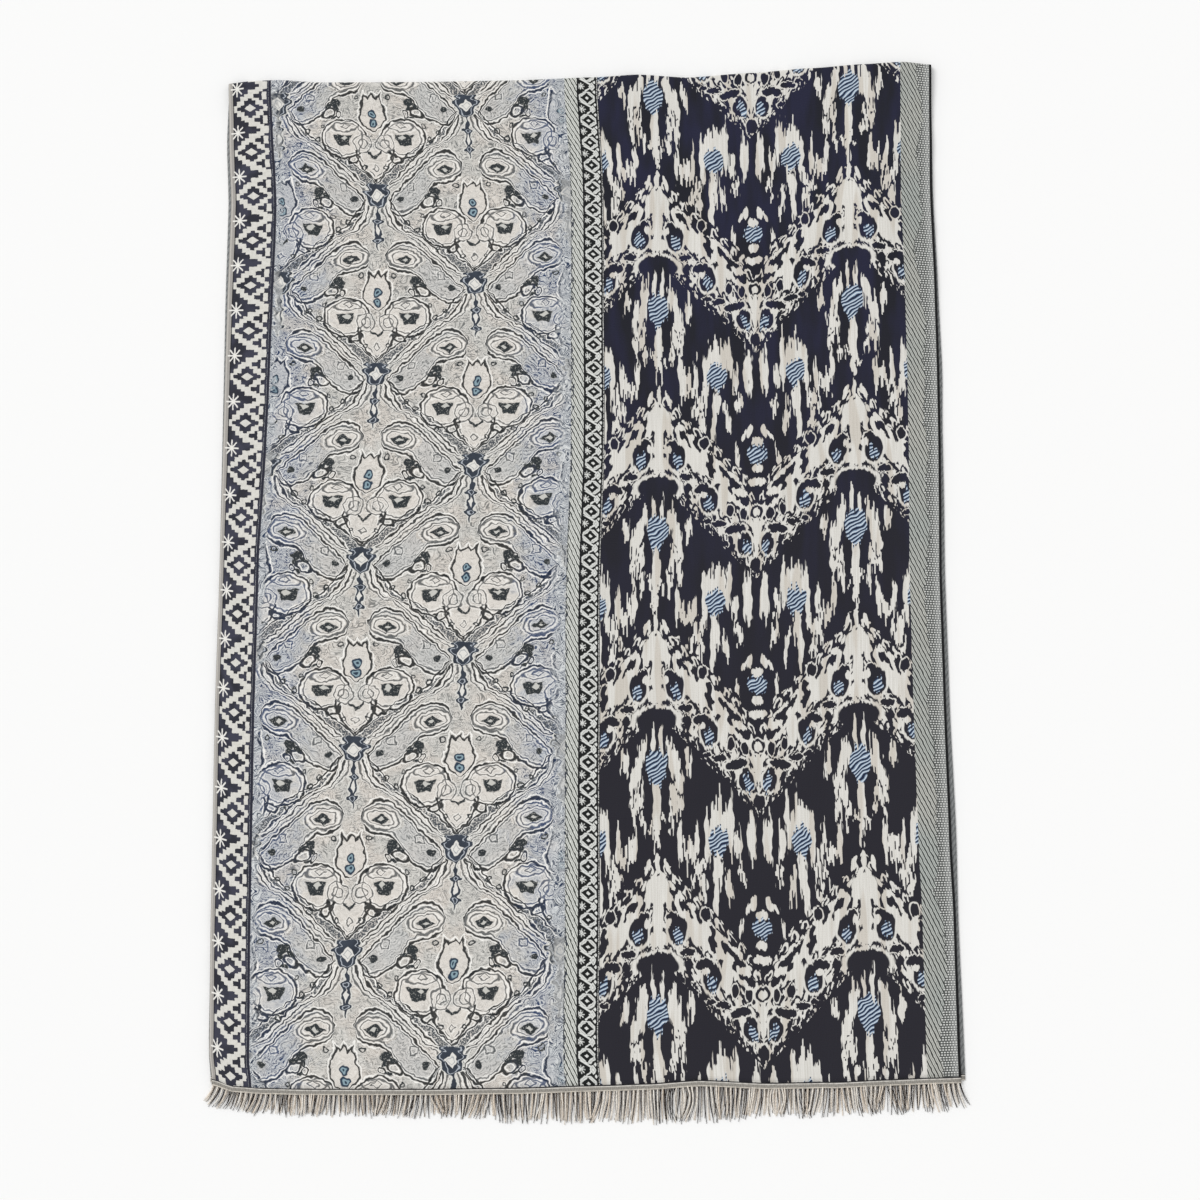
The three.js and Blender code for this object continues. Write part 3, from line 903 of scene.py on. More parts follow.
# %% Paisley tables
OGEE_WIDTH = 101.5
OGEE_HEIGHT = 190.0
OGEE_EDGE = [(0, 6), (8, 14), (22, 18), (34, 27), (44, 45), (60, 64), (78, 83), (95, 101),
             (103, 94), (117, 84), (129, 75), (139, 57), (155, 38), (173, 19), (190, 4)]
UNDER = 3.0  # profiles can't go under zero, so some are drawn this much too wide
JEWEL = [(0, 3), (2.5, 15.5), (5, 12.5), (8.5, 18), (12, 15.5), (15, 13), (20, 12), (24, 8),
         (27, 3.6), (30, 4.2), (33, 5.6), (37, 5), (40, 9), (44, 5.8), (52, 7.4), (57, 5.2), (60, 9),
         (64, 4.2), (70, 3.5), (73, 0), (190, 0)]
JEWEL_START = 13.0
LEAF_TOP = [(0, 76), (6, 69), (9, 62.5), (12.9, 55.3), (20, 50.6), (29.4, 49.2), (38.8, 52.8),
            (48.2, 59.7), (57.6, 68.7), (67, 77.9), (76.5, 86.4), (83.5, 93.7), (88, 99), (91, 106),
            (101.5, 119)]
LEAF_BOTTOM = [(0, 52), (6, 58), (9, 64.5), (11, 73), (17.6, 77.9), (27, 80.8), (36.5, 82.3),
               (42.4, 86.4), (48.2, 93.7), (52.9, 101), (58.8, 107), (67, 112), (76.5, 115.2),
               (83.5, 113.2), (88, 107), (91, 97), (101.5, 86)]
TULIP = [(0, 0), (70, 0), (78, 11), (84, 11.6), (90, 13), (98.6, 16.2), (104.7, 17.1), (112, 14.8),
         (119, 8), (122, 3), (124, 0), (190, 0)]
TAIL = [(0, 0), (132, 16), (142, 20), (150, 18.5), (158, 15), (166, 9), (171, 4), (174, 0), (190, 0)]
TAIL_START, TAIL_STOP = 141, 175
BAND = [(0, 1.5), (60, 1.5), (95, 2), (130, 3.5), (165, 8.5), (190, 9)]
RINGS = [(60, 131, 3.0, 3.0, 0), (70, 123, 3.0, 2.8, 0), (54, 116.5, 2.2, 2.4, 0),
         (17, 85, 2.9, 2.7, 0), (12, 160, 3.0, 2.2, 20), (38, 152, 2.4, 1.8, 0)]
BLOBS = [(39.5, 90.8, 5.4, 4.3, -15), (47, 94.6, 4.6, 2.0, 25), (38, 96.5, 2.2, 3.6, 25),
         (77, 99, 3.8, 3.2, 0), (41.5, 106.5, 3.6, 1.3, 15)]
PANEL_LENGTH = 1000
AXIS_PLACE = [(0, 141.8), (110, 142), (200, 143.6), (290, 144.9), (380, 142), (470, 139),
              (665, 136.4), (870, 132.2), (985, 129.2), (1000, 129)]
STRETCH = [(0, 1.09), (110, 1.08), (200, 1.066), (290, 1.046), (380, 1.03), (470, 1.015),
           (665, 1.03), (770, 1.037), (870, 1.03), (985, 1.01), (1000, 1.01)]
SLACK = [(0, 1.0), (50, 2.4), (110, 5.4), (200, 8.6), (290, 8.9), (380, 10.2), (470, 10),
         (560, 8.8), (660, 5.2), (770, 3), (870, 3.8), (1000, 1.8)]
AWAY = 9  # moves a line out of reach where it isn't drawn


# %% The lattice and its shapes
def lattice_places(board, across_mm, down_mm, flat):
    """Place across, folded into one column, and the places along for both sets of columns."""
    bend = board.noise(flat, 0.11, detail=1.6, roughness=0.55)
    bend_other = board.noise(board.point(down_mm + 400, across_mm), 0.12, detail=1.6, roughness=0.55)
    axis = board.curve(down_mm, PANEL_LENGTH, 160, AXIS_PLACE)
    stretch = board.curve(down_mm, PANEL_LENGTH, 1.2, STRETCH)
    x = (across_mm - axis) * stretch + (bend - 0.5) * 6.0
    even_down = down_mm - board.curve(down_mm, PANEL_LENGTH, 12, SLACK) + 3.2
    halves = beat_phase(even_down, -0.4488, 0.0115066, -7.9367e-7) + (bend_other - 0.5) * 0.06
    folded = (x + 10 * OGEE_WIDTH).fold(OGEE_WIDTH)
    along_first, along_second = (((halves + start) * 0.5).fraction() * OGEE_HEIGHT
                                 for start in (1.137, 0.137))
    return folded, along_first, along_second


def jewel_shapes(board, folded, along_first, along_second):
    """The jewel and its pendant, which hang from every corner of the lattice, and their stones."""
    hang_x = folded.least(OGEE_WIDTH - folded)
    hang_y = board.choose(folded < OGEE_WIDTH / 2, along_second, along_first) + JEWEL_START
    hang_y = (hang_y / OGEE_HEIGHT).fraction() * OGEE_HEIGHT
    outline = board.curve(hang_y, OGEE_HEIGHT, 20, JEWEL) - UNDER - hang_x
    gem = diamond(hang_x, hang_y - JEWEL_START, 7.2, 7.4) * 5.2
    facet = abs(hang_x - 5.4 - abs(hang_y - JEWEL_START) * 0.45).below(0.5, 0.4) * (hang_y < 24)
    hollow = diamond(hang_x, hang_y - JEWEL_START - 36.5, 2.6, 6.0).below(1, 0.15)
    return SimpleNamespace(outline=outline, gem=gem, facet=facet, hollow=hollow)


def cell_shapes(board, x, y):
    """Distances to the motifs' outlines in one half cell, in millimetres."""
    zigzag = 86.5 - abs(x - 4.4) * 1.15
    tulip = (board.curve(y, OGEE_HEIGHT, 40, TULIP) - UNDER - x).least((y - zigzag) * 0.7)
    leaf = board.math("SMOOTH_MIN", y - board.curve(x, OGEE_WIDTH, 120, LEAF_TOP),
                      board.curve(x, OGEE_WIDTH, 120, LEAF_BOTTOM) - y, 4.0) * 0.8
    cell = board.point(x, y)
    head = (board.oval(cell, 27.5, 66.5, 17.5, 9.6, 10) - 1) * 9.5
    lobe = (board.oval(cell, 31.5, 129.5, 23.5, 20.5) - 1) * 21
    round_lobe = (board.oval(cell, 11.5, 135, 9.6, 9.4) - 1) * 9.4
    tail = board.curve(y, OGEE_HEIGHT, 40, TAIL) - x
    return SimpleNamespace(x=x, y=y, cell=cell, tulip=tulip, leaf=leaf, head=head, lobe=lobe,
                           round_lobe=round_lobe, tail=tail)


def dark_lines(board, shapes, gap, low_half):
    """The least distance to any strong line. The tulip hides what lies under it."""
    y, tail = shapes.y, shapes.tail
    lines = (abs(shapes.tulip - 0.4) * 0.65).least(abs(shapes.leaf))
    lines = lines.least(abs(shapes.lobe) + (shapes.round_lobe < 0) * AWAY)
    lines = lines + (shapes.tulip > 1) * AWAY
    lines = lines.least(abs(gap)).least(abs(gap - 4.4 - low_half * (y - 97) * 0.085) * 1.2)
    lines = lines.least(abs(tail * 0.8) + (y < TAIL_START) * AWAY + (y > TAIL_STOP) * AWAY)
    lines = lines.least(abs((board.oval(shapes.cell, 22, 151.5, 6.2, 3.6, 25) - 1) * 4))
    small_leaves = board.oval(shapes.cell, 47, 101.5, 7.6, 4.4, 28)
    small_leaves = small_leaves.least(board.oval(shapes.cell, 36, 103.5, 4.0, 2.6, 60))
    return lines.least(abs((small_leaves - 1) * 4.5))


def fine_lines(board, shapes, gap, low_half, down_mm):
    """The least distance to any thin contour inside the shapes."""
    x, y = shapes.x, shapes.y
    fine = abs(shapes.tulip - 3.2) + (shapes.tulip > 3.8) * AWAY
    fine = fine.least(abs(shapes.leaf - 3.0) + (shapes.head < 0) * AWAY)
    fine = fine.least(abs(shapes.head) + (shapes.leaf < 0) * AWAY)
    fine = fine.least(abs(shapes.head + 2.6) * 1.4).least(abs(shapes.lobe + 3.4))
    fine = fine.least(abs(shapes.round_lobe)).least(abs(shapes.round_lobe + 4.6))
    fine = fine + (shapes.tulip > 0.4) * AWAY
    fine = fine.least(abs((board.oval(shapes.cell, 29.5, 116.5, 14, 5.2, 5) - 1) * 5.2))
    fine = fine.least(abs(abs(x - 29.5) * 0.62 + abs(y - 116) - 3.2))
    dashed = (y < TAIL_START) * AWAY + ((down_mm / 7.5).fraction() < 0.3) * AWAY
    fine = fine.least(abs(shapes.tail * 0.8 - 3.0) + dashed)
    fine = fine.least(abs(gap - 8.0) + low_half * AWAY)
    fine = fine.least(abs(x + abs(y - 161) - 3.6) * 0.8)
    return fine.least(abs(abs(x - 66).most(abs(y - 86)) - 3.4))


# %% The engraved ground and the finished panel
def repeated_contour(contour, count, level, half_width, softness):
    """1 on the lines of equal height of a noise, count of them from its lowest to its highest."""
    return abs((contour * count).fraction() - 0.5).near(level, half_width, softness)


def paisley_material():
    board = Board("paisley_weave", sheen=0.05)
    across_mm, down_mm = board.weave_place()
    flat = board.point(across_mm, down_mm)
    folded, along_first, along_second = lattice_places(board, across_mm, down_mm, flat)
    jewel = jewel_shapes(board, folded, along_first, along_second)
    in_first = folded < board.curve(along_first, OGEE_HEIGHT, 110, OGEE_EDGE)
    cell_x = board.choose(in_first, OGEE_WIDTH - folded, folded)
    cell_y = board.choose(in_first, along_second, along_first)
    gap = (board.curve(cell_y, OGEE_HEIGHT, 110, OGEE_EDGE) - cell_x) * 0.72
    pressure = board.noise(flat, 0.09, detail=1.0)
    low_half = cell_y > 97
    shapes = cell_shapes(board, cell_x, cell_y)
    lines = dark_lines(board, shapes, gap, low_half)
    fine = fine_lines(board, shapes, gap, low_half, down_mm)
    # engraving: contours of a noise, flat strokes along the weft, and slanted ones in the leaf
    contour = board.noise(flat, 0.085, detail=2.5, distortion=0.8)
    strokes = repeated_contour(contour, 11, 0, 0.12, 0.1)
    dashes = board.noise(board.point(across_mm * 0.2, down_mm * 0.6), 1.0, detail=1.0)
    strokes = strokes.most(dashes.below(0.38, 0.06) * 0.9)
    slanted = ((cell_y * 0.8 - cell_x * 0.6) / 3.5 + contour * 5).fraction()
    in_body = (shapes.leaf > 1.2) * (shapes.head > 3.0)
    strokes = board.choose(in_body, strokes, abs(slanted - 0.5).below(0.17, 0.14))
    # how much of the blue weft comes up: most along the panel's two sides
    cloudy = board.noise(flat, 0.03, detail=2.0)
    inland = abs(across_mm - 188 + (contour - 0.5) * 60).below(104, 30)
    blue_share = (1 - inland) * (cloudy.below(0.62, 0.2) * 0.6 + 0.4)
    calm = (shapes.tulip > 0).most(shapes.lobe < 0)
    calm = calm.most((shapes.tail > 0) * (cell_y > TAIL_START)).most(shapes.head < 0)
    warm = board.mix(cloudy.below(0.5, 0.2), "#d2cbc2", "#c9c7c1")
    ground = board.mix(in_body * 0.55, warm, "#b9bbbc")
    ground = board.mix(calm * 0.7, ground, "#e2dcd4")
    ground = board.mix(blue_share * 0.7, ground, "#a9b1bb")
    stroke_colour = board.mix(blue_share, "#55595b", "#263a60")
    strokes = strokes * (pressure.below(0.62, 0.3) * 0.5 + 0.36 + blue_share * 0.5)
    strokes = strokes * (1 - calm * 0.65) * (1.04 - down_mm * 0.00032)
    colour = board.mix(strokes, ground, stroke_colour)
    colour = board.mix(repeated_contour(contour, 11, 0.33, 0.06, 0.1) * 0.6, colour, "#f1eee9")
    # the grainy band inside each cell's lower edges, wider towards its point
    speckle = board.noise(flat, 0.6, detail=2.0, roughness=0.7)
    band_width = board.curve(cell_y, OGEE_HEIGHT, 20, BAND)
    in_band = (gap > 1.6) * (gap < band_width + 1.6) * low_half
    colour = board.mix(in_band * speckle.below(0.53, 0.08), colour, "#4c5157")
    # light beside every line, then the lines themselves, thick and thin by the hand's pressure
    width = pressure * 1.1 + 0.3
    light = (lines - width).near(0.85, 0.35, 0.35) * 0.95
    light = light.most(abs(gap - band_width - 2.6 + low_half * 0.4).below(0.65, 0.3))
    light = light.most((fine - width * 0.6).near(0.8, 0.25, 0.3) * 0.7)
    colour = board.mix(light, colour, "#faf8f3")
    ink = board.mix(blue_share * 0.8, "#1d2022", "#1b2a45")
    fine_ink = board.mix(blue_share, "#474b4e", "#2c4066")
    colour = board.mix((fine - width * 0.62).below(0.0, 0.35) * 0.85, colour, fine_ink)
    colour = board.mix((lines - width).below(0.0, 0.35) * 0.95, colour, ink)
    # eyes, blobs, the stone in each lobe, the crown and the drops
    eye = diamond(cell_x - 28, cell_y - 67.5, 9.4, 5.8)
    stone = (abs(cell_x - 33) / (8.4 - (cell_y - 131) * 0.4)).most(abs(cell_y - 131) / 5.8)
    crown = abs(cell_y - 149.5 + cell_x * 0.75).below(1.5, 0.6) * (cell_x < 7)
    dark = eye.below(1.0, 0.12).most(board.nearest_oval(shapes.cell, BLOBS).below(1.0, 0.15))
    dark = dark.most(stone.below(1.0, 0.1)).most(crown)
    dark = dark.most(board.nearest_oval(shapes.cell, RINGS).near(0.8, 0.26, 0.15))
    glint = (abs(cell_x - 31) + abs(cell_y - 128.5) * 1.4).below(4.2, 0.8)
    glint = glint.most(eye.below(0.34, 0.08)).most(speckle.below(0.36, 0.06) * 0.5)
    colour = board.mix(dark, colour, board.mix(glint, "#2f3437", "#c9c8c2"))
    drop = board.oval(shapes.cell, 0, 103.5, 4.2, 5.2)
    drop = drop.least(board.oval(shapes.cell, 0, 113.5, 4.8, 4.6))
    colour = board.mix(drop.below(1, 0.15), colour, "#2c3c4e")
    colour = board.mix(drop.near(0.46, 0.17, 0.12), colour, "#8ba3ad")
    # both sides of the panel are smeared with blue, where the stripe beside it pulls the weft up
    margin = (across_mm + (contour - 0.5) * 30).below(48, 6)
    margin = margin.most(1 - (across_mm + (contour - 0.5) * 24).below(322, 8))
    smear = board.mix(repeated_contour(contour, 13, 0, 0.19, 0.14), "#c0c5c8", "#25364f")
    smear = board.mix(repeated_contour(contour, 13, 0.33, 0.06, 0.1), smear, "#eceeed")
    colour = board.mix(margin * 0.75, colour, smear)
    # the jewel last, over everything, with a light rim
    hanging = 1 - margin * 0.6
    colour = board.mix((1 - jewel.outline.below(-1.4, 0.5)) * hanging, colour, "#dcdbd5")
    slate = board.mix(pressure, "#282d36", "#434b57")
    inside = board.mix(jewel.outline.near(3.4, 0.6, 0.5), slate, "#b4bac1")
    colour = board.mix((1 - jewel.outline.below(0, 0.4)) * hanging, colour, inside)
    colour = board.mix(jewel.facet * (jewel.outline > 0.6), colour, slate)
    colour = board.mix(jewel.gem.below(5.0, 0.5).most(jewel.hollow) * hanging, colour, "#e4e2dc")
    colour = board.mix(jewel.gem.near(3.0, 0.35, 0.4) * 0.6, colour, "#6b7582")
    colour = board.mix(across_mm.near(41.0, 1.3, 0.3), colour, "#2b2c39")
    return board.finish(colour, weave_grain(board, across_mm, down_mm) * 0.9)


# %% [markdown]
# ## The narrow stripes
# A steep twill and a chain of rings run down the middle, and a wider twill runs along the right
# selvedge, where it breaks up into a check of fine dots. A twill is one slanted distance,
# repeated by its fraction, with a thinner line of painted shade half a repeat on, and a painted
# highlight line between the two. The chain's ring, leaf, star and chips are each a distance of
# their own in one repeat, sheared a little as the stripe leans.

# %% Twill, chain and edge
def off_twill(slanted):
    """Distance from the middle of the nearest twill line, 0 to 0.5 of the lines' pitch."""
    return abs(slanted.fraction() - 0.5)


def twill_material():
    board = Board("twill_weave")
    across_mm, down_mm = board.weave_place()
    flat = board.point(across_mm, down_mm)
    wobble = board.noise(flat, 0.25, detail=1.0) - 0.5
    phase = beat_phase(down_mm, 0.0, 0.137, -1.55e-5)
    off_line = off_twill(phase - (across_mm - 339) * 0.26 + wobble * 0.45)
    line = (off_line - wobble * 0.12).below(0.15, 0.12)
    light = board.mix(board.noise(flat, 0.3), "#bfc3bb", "#dcddd7")
    # painted shade: a darker copy of the light yarn, on a thin line half a repeat from each dark line
    painted_shade = board.mix(wobble + 0.5, "#8d908b", "#b9bcb6")
    light = board.mix(off_line.below(0.42, 0.08), painted_shade, light)
    # painted highlight: a pale line along each twill rib, beside its dark line
    light = board.mix(off_line.near(0.3, 0.04, 0.06), light, "#efefeb")
    colour = board.mix(line, light, "#414541")
    torn = board.noise(board.point(across_mm * 2, down_mm), 0.12, detail=2.0) - 0.5
    ragged = (across_mm - 333.0 + torn * 9.0).near(0.6, 0.5, 0.4)
    colour = board.mix(ragged * (down_mm > 60), colour, "#3a3f49")
    colour = board.mix(across_mm > 345.6, colour, "#1b1c1e")
    return board.finish(colour, weave_grain(board, across_mm, down_mm) - line)


CHAIN_REPEAT = 24.6
CHAIN_MIDDLE = 354.9


def chain_material():
    board = Board("chain_weave")
    across_mm, down_mm = board.weave_place()
    flat = board.point(across_mm, down_mm)
    wobble = board.noise(flat, 0.4, detail=1.5) - 0.5
    tightened = (down_mm * 0.022 - 2.6).most(0).least(3.5)
    phase = beat_phase(down_mm + tightened, -0.932, 0.043549, -2.106e-6)
    x = across_mm - CHAIN_MIDDLE + wobble * 1.6
    y = from_middle(phase, CHAIN_REPEAT) - x * 0.13 + wobble * 1.4
    wide, high = abs(x) / 8.0, abs(y) / 6.9
    octagon = wide.most(high).most((wide + high) * 0.71)
    hole = diamond(x, y, 6.0, 4.9)
    spikes = block(x, y, 0.7, 5.4)
    ring = octagon.below(0.97, 0.09) * (1 - hole.near(0.70, 0.38, 0.12)) * (1 - spikes)
    ring = ring.most(hole.below(0.34, 0.12)) * (1 - octagon.near(0.76, 0.04, 0.1) * 0.5)
    # between two rings: a leaf on the right, a star on the left, and the line that zigzags past
    low_y = (y / CHAIN_REPEAT + 1).fraction() * CHAIN_REPEAT
    leaf = diamond(x - 5.2, low_y - 11.8, 3.4, 4.6).below(1.0, 0.15) * (x < 7.8)
    falling = (low_y - 7.6 - x * 0.52).near(0, 1.0, 0.5) * (x < 4.5) * (low_y > 4.5)
    rising = (low_y - 16.2 + x * 0.8).near(0, 1.0, 0.5) * (x > -1.5) * (x < 5)
    chips = (abs(x - 7.6) * 1.1 + abs(abs(low_y - 12.2) - 5.4)).below(1.9, 0.5)
    rays = star(abs(x + 6.0), abs(low_y - 12.4), 4.0, 0.55) * board.noise(flat, 0.9).below(0.62, 0.1)
    ecru = ring.most(leaf).most(falling).most(rising).most(chips).most(rays)
    crease = leaf * diamond(x - 5.0, low_y - 11.8, 1.6, 2.4).near(1.0, 0.2, 0.2) * 0.45
    light = board.mix(board.noise(flat, 0.8), "#c2c5c0", "#f6f6f2")
    colour = board.mix(ecru - crease, "#1a1c1c", light)
    colour = board.mix(abs(across_mm - 355.2) > 8.3, colour, "#1a1b1e")
    speck = board.noise(board.point(across_mm, down_mm * 1.2), 0.9) > 0.44
    colour = board.mix(across_mm.near(365.0, 0.4, 0.2) * speck, colour, "#c9c9c5")
    return board.finish(colour, weave_grain(board, across_mm, down_mm) + ecru * 0.7)


def edge_material():
    board = Board("edge_weave")
    across_mm, down_mm = board.weave_place()
    flat = board.point(across_mm, down_mm)
    wobble = board.noise(flat, 0.2, detail=1.0) - 0.5
    phase = beat_phase(down_mm, 0.0, 0.147, -1.5e-5)
    off_line = off_twill(phase - (across_mm - 650) * 0.262 + wobble * 0.4)
    line = (off_line - wobble * 0.1).below(0.17, 0.12)
    light = board.mix(board.noise(flat, 0.012, detail=1.0).below(0.5, 0.3), "#b1b8b3", "#c6c5bc")
    # painted shade: a darker copy of the light yarn, on a thin line half a repeat from each dark line
    painted_shade = board.mix(wobble + 0.5, "#6f7370", "#a2a6a1")
    light = board.mix(off_line.below(0.42, 0.08) * 0.8, painted_shade, light)
    # painted highlight: a pale line along each twill rib, beside its dark line
    light = board.mix(off_line.near(0.3, 0.03, 0.06) * 0.8, light, "#e2e2dc")
    colour = board.mix(line, light, "#3b3e3d")
    check = abs((down_mm / 2.3).fraction() - 0.5).below(0.24, 0.12)
    shift = (across_mm / 2.7 + (down_mm / 4.6).floor() * 0.5).fraction()
    check = check * abs(shift - 0.5).below(0.3, 0.15)
    reach = board.noise(board.point(down_mm * 0.012, 3.0), 1.0) * 26
    dotted = (across_mm + off_line * 5 + wobble * 6) > 700 - reach
    dotted = dotted.most(across_mm > 692)
    ground = board.mix((across_mm - 693).below(0, 6), "#8b8d8c", "#4f5250")
    colour = board.mix(dotted, colour, board.mix(check, ground, "#dcddd9"))
    colour = board.mix(across_mm > 697.6, colour, "#1d1e20")
    return board.finish(colour, weave_grain(board, across_mm, down_mm) - line * 0.8)


# %% [markdown]
# ## The ikat panel
# Ikat yarns are dyed before weaving, so each warp yarn slips a little and every shape ends in
# vertical spikes. The maths does the same: the place across is snapped to a yarn's width, and a
# noise of the yarn's number moves its place along before the ovals are looked up. The big shapes
# of the navy field slip far, and the hooked band between two fields slips little. The repeat is
# mirrored about a middle line and slants down towards it, so the cell is cut on the slant.
# The tables hold ovals: x from the mirror line, y along, half width, half height, turn in degrees.

# %% Ikat tables
IKAT_AXIS = 518.7
IKAT_HALF = 98.0
IKAT_REPEAT = 225.0
IKAT_LEAD = 50.0
YARN_WIDTH = 1.15
FIELD_OVALS = [
    (94, -23, 2.2, 13, 0), (84, -10, 4.6, 14, 8), (79, 8, 5.4, 19, 16), (67, -3, 3.8, 10, 0),
    (98, 36, 4.0, 24, 0), (98, 53, 8.5, 5, 0), (98, 67, 3.2, 9, 0), (81, 32, 4.4, 10, 12),
    (75, 38, 3, 9, 0), (85, 49, 3, 7.5, 0), (76.7, 70, 2.6, 17, 0), (60.5, 72, 2.6, 16, 0),
    (68.6, 82, 9.6, 8, 0), (39, 58, 11, 23, 0), (27, 54, 3.0, 24, 0), (50, 66, 3.2, 22, 0),
    (21, 74, 3.6, 13, 0), (57, 98, 4.6, 15, -32), (40, 98, 4.6, 15, 0), (43, 122, 2.8, 19, 0),
    (30, 112, 3, 14, 12), (55, 117, 4.4, 8, 0), (8, 67, 4.6, 24, 0), (17.5, 101, 4.4, 8, 0),
    (20.5, 156, 2.0, 14, -10),
]
BAND_OVALS = [
    (98, 114, 12, 13, 0), (98, 137, 5.0, 24, 0), (98, 158, 9, 7, 0), (62, 154, 7.5, 13, 20),
    (34, 192, 5.6, 14, 0), (7.5, 127, 2.8, 7, -15), (13, 131, 1.6, 6, -25), (0, 137, 6.0, 4.5, 0),
    (0, 164, 5.5, 4.5, 0), (0, 177, 9, 4.4, 0), (98, 90, 2.2, 9, 0), (89, 93, 2.0, 8, 18),
    (0, 226, 2.6, 22, 0),
]
DARK_SHAPES = [
    (80, 151, 8.8, 13, 0), (85, 139, 5.2, 5, 0), (53, 137, 4.4, 6, 0), (47.5, 194, 8.4, 13, 0),
    (55, 182, 8, 4.6, 18), (70, 171, 7, 3.6, 0), (11.5, 238, 7.0, 11, 0), (21, 224, 10.5, 4.6, 12),
    (0, 207, 6.6, 6.5, 0), (37, 218, 7.4, 3.4, 0), (0, 259, 5.4, 7, 0), (0, 171, 6.0, 3.0, 0),
    (26, 205, 3.4, 6, 0), (13, 209, 3.4, 6, 0), (98, 182, 20, 12, 0), (30, 238, 4, 3, 0),
    (48, 215, 4, 2.6, 0),
]
CREAM_HEARTS = [
    (88, 143.5, 2.8, 4.2, 0), (53, 188.5, 3.6, 3.2, 0), (19.5, 230.5, 4.0, 3.2, 0),
    (0, 207.5, 3.6, 4.2, 0),
]
BLUE_OVALS = [
    (98, 0, 10.4, 15, 0), (98, 10, 5.5, 10, 0), (39.5, 70, 10, 12.5, 0), (0, 149.5, 10, 8.4, 0),
    (79.5, 155, 4.8, 6.5, 20), (47.5, 199, 4.6, 6.5, 20), (9.5, 241, 4.2, 7.4, 20),
]
HOOK_PITCH, HOOK_ROW, HOOK_RADIUS = 10.0, 9.4, 2.6
STRIPE_PITCH = 4.0


# %% Ikat panel
def in_repeat(level):
    """The level within one repeat, which starts IKAT_LEAD before the field's own zero."""
    return ((level + IKAT_LEAD) / IKAT_REPEAT).fraction() * IKAT_REPEAT - IKAT_LEAD


def small_hooks(x, y):
    """Rows of open rings, a quarter left out and a stem added, every other row set over."""
    row = (y / HOOK_ROW).floor()
    cell_x = ((x / HOOK_PITCH + row * 0.5).fraction() - 0.5) * HOOK_PITCH
    cell_y = ((y / HOOK_ROW).fraction() - 0.5) * HOOK_ROW
    ring = ((cell_x * cell_x + cell_y * cell_y * 0.6) ** 0.5).near(HOOK_RADIUS, 0.95, 0.35)
    stem = cell_x.near(HOOK_RADIUS, 0.85, 0.35) * (cell_y > 0)
    return (ring * (1 - (cell_x < 0.6) * (cell_y > 0.4))).most(stem)


def ikat_material():
    board = Board("ikat_weave", sheen=0.05)
    across_mm, down_mm = board.weave_place()
    flat = board.point(across_mm, down_mm)
    # how far each bundle of yarns, and each yarn, has slipped along itself
    yarn = (across_mm / YARN_WIDTH).floor()
    bundle = board.point(yarn * 0.36, down_mm * 0.018)
    fingers = board.noise(bundle, 1.0, detail=1.5, roughness=0.65) - 0.5
    single = board.noise(board.point(yarn * 5.3 + 90, down_mm * 0.1), 1.0, detail=0.0) - 0.5
    sway = board.noise(flat, 0.07, detail=1.0) - 0.5
    bend = board.noise(flat, 0.13, detail=0.0) - 0.5
    x = (abs(across_mm - IKAT_AXIS) + sway * 4.0).fold(IKAT_HALF)
    slant = IKAT_HALF - x
    level = beat_phase(down_mm, -0.10376, 0.0046495, -2.1877e-7) * IKAT_REPEAT - slant
    slipped_far = in_repeat(level + fingers * 52 + single * 14)
    slipped = in_repeat(level + fingers * 5 + single * 2.6)
    field = board.nearest_oval(board.point(x, slipped_far + slant), FIELD_OVALS).below(1.0, 0.08)
    # the band: cream hooks on navy along its upper edge, cream with navy hooks under them
    cell = board.point(x, slipped + slant)
    from_top = slipped - 82 - (16 - x).most(0) + sway * 12
    hooks = small_hooks(x + bend * 5, slipped + sway * 4)
    core = board.noise(board.point(x, slipped * 0.8 + 700), 0.14, detail=0.5)
    inner = (1 - core.below(0.445, 0.02)) * (1 - hooks * (from_top > 40))
    band = board.choose(from_top > 14, hooks, inner)
    in_band = (from_top > 0) * (slipped_far * 0.35 + slipped * 0.65 < 168)
    cream = board.choose(in_band, field, band)
    shapes = board.nearest_oval(cell, BAND_OVALS).below(1.0, 0.08)
    from_dark = board.nearest_oval(cell, DARK_SHAPES)
    dark = from_dark.below(1.0, 0.08)
    shapes = shapes.most(from_dark.below(1.24, 0.1) * in_band)
    hearts = board.nearest_oval(cell, CREAM_HEARTS).below(1.0, 0.1)
    cream = (cream.most(shapes) * (1 - dark)).most(hearts)
    # the two yarns, each a little uneven, and the navy greyer towards the open end
    patchy = board.noise(board.point(across_mm * 0.05, down_mm * 0.012), 1.0, detail=2.0)
    navy = board.mix(patchy.below(0.5, 0.25), "#23243a", "#1d1e27")
    navy = board.mix((down_mm - 450).below(0, 500), "#26252d", navy)
    threads = board.noise(board.point(across_mm * 0.9, down_mm * 0.02), 1.0, detail=1.0)
    cream_yarn = board.mix(threads, "#cac7bf", "#eae8e3")
    toned = board.noise(board.point(across_mm * 0.11, down_mm * 0.012 + 40), 1.0, detail=0.0)
    cream_yarn = board.mix(toned.below(0.4, 0.1) * 0.5, cream_yarn, "#c0b6a8")
    colour = board.mix(cream, navy, cream_yarn)
    # blue ovals have a slightly ragged outline, and a slanting stripe runs through them
    steady = board.point(x, in_repeat(level + single * 10 + fingers * 14) + slant)
    blue = board.nearest_oval(steady, BLUE_OVALS).below(1.0, 0.05)
    stripe = (down_mm + across_mm * 0.62 + sway * 6 + bend * 2.5) / STRIPE_PITCH
    stripe = stripe.fraction()
    sky = board.mix(threads, "#7894b2", "#a9bccd")
    patch = board.mix(stripe.below(0.46, 0.16), sky, "#1e2740")
    patch = board.mix(abs(stripe - 0.76).below(0.07, 0.08), patch, "#e4e8ea")
    colour = board.mix(blue, colour, patch)
    return board.finish(colour, weave_grain(board, across_mm, down_mm))


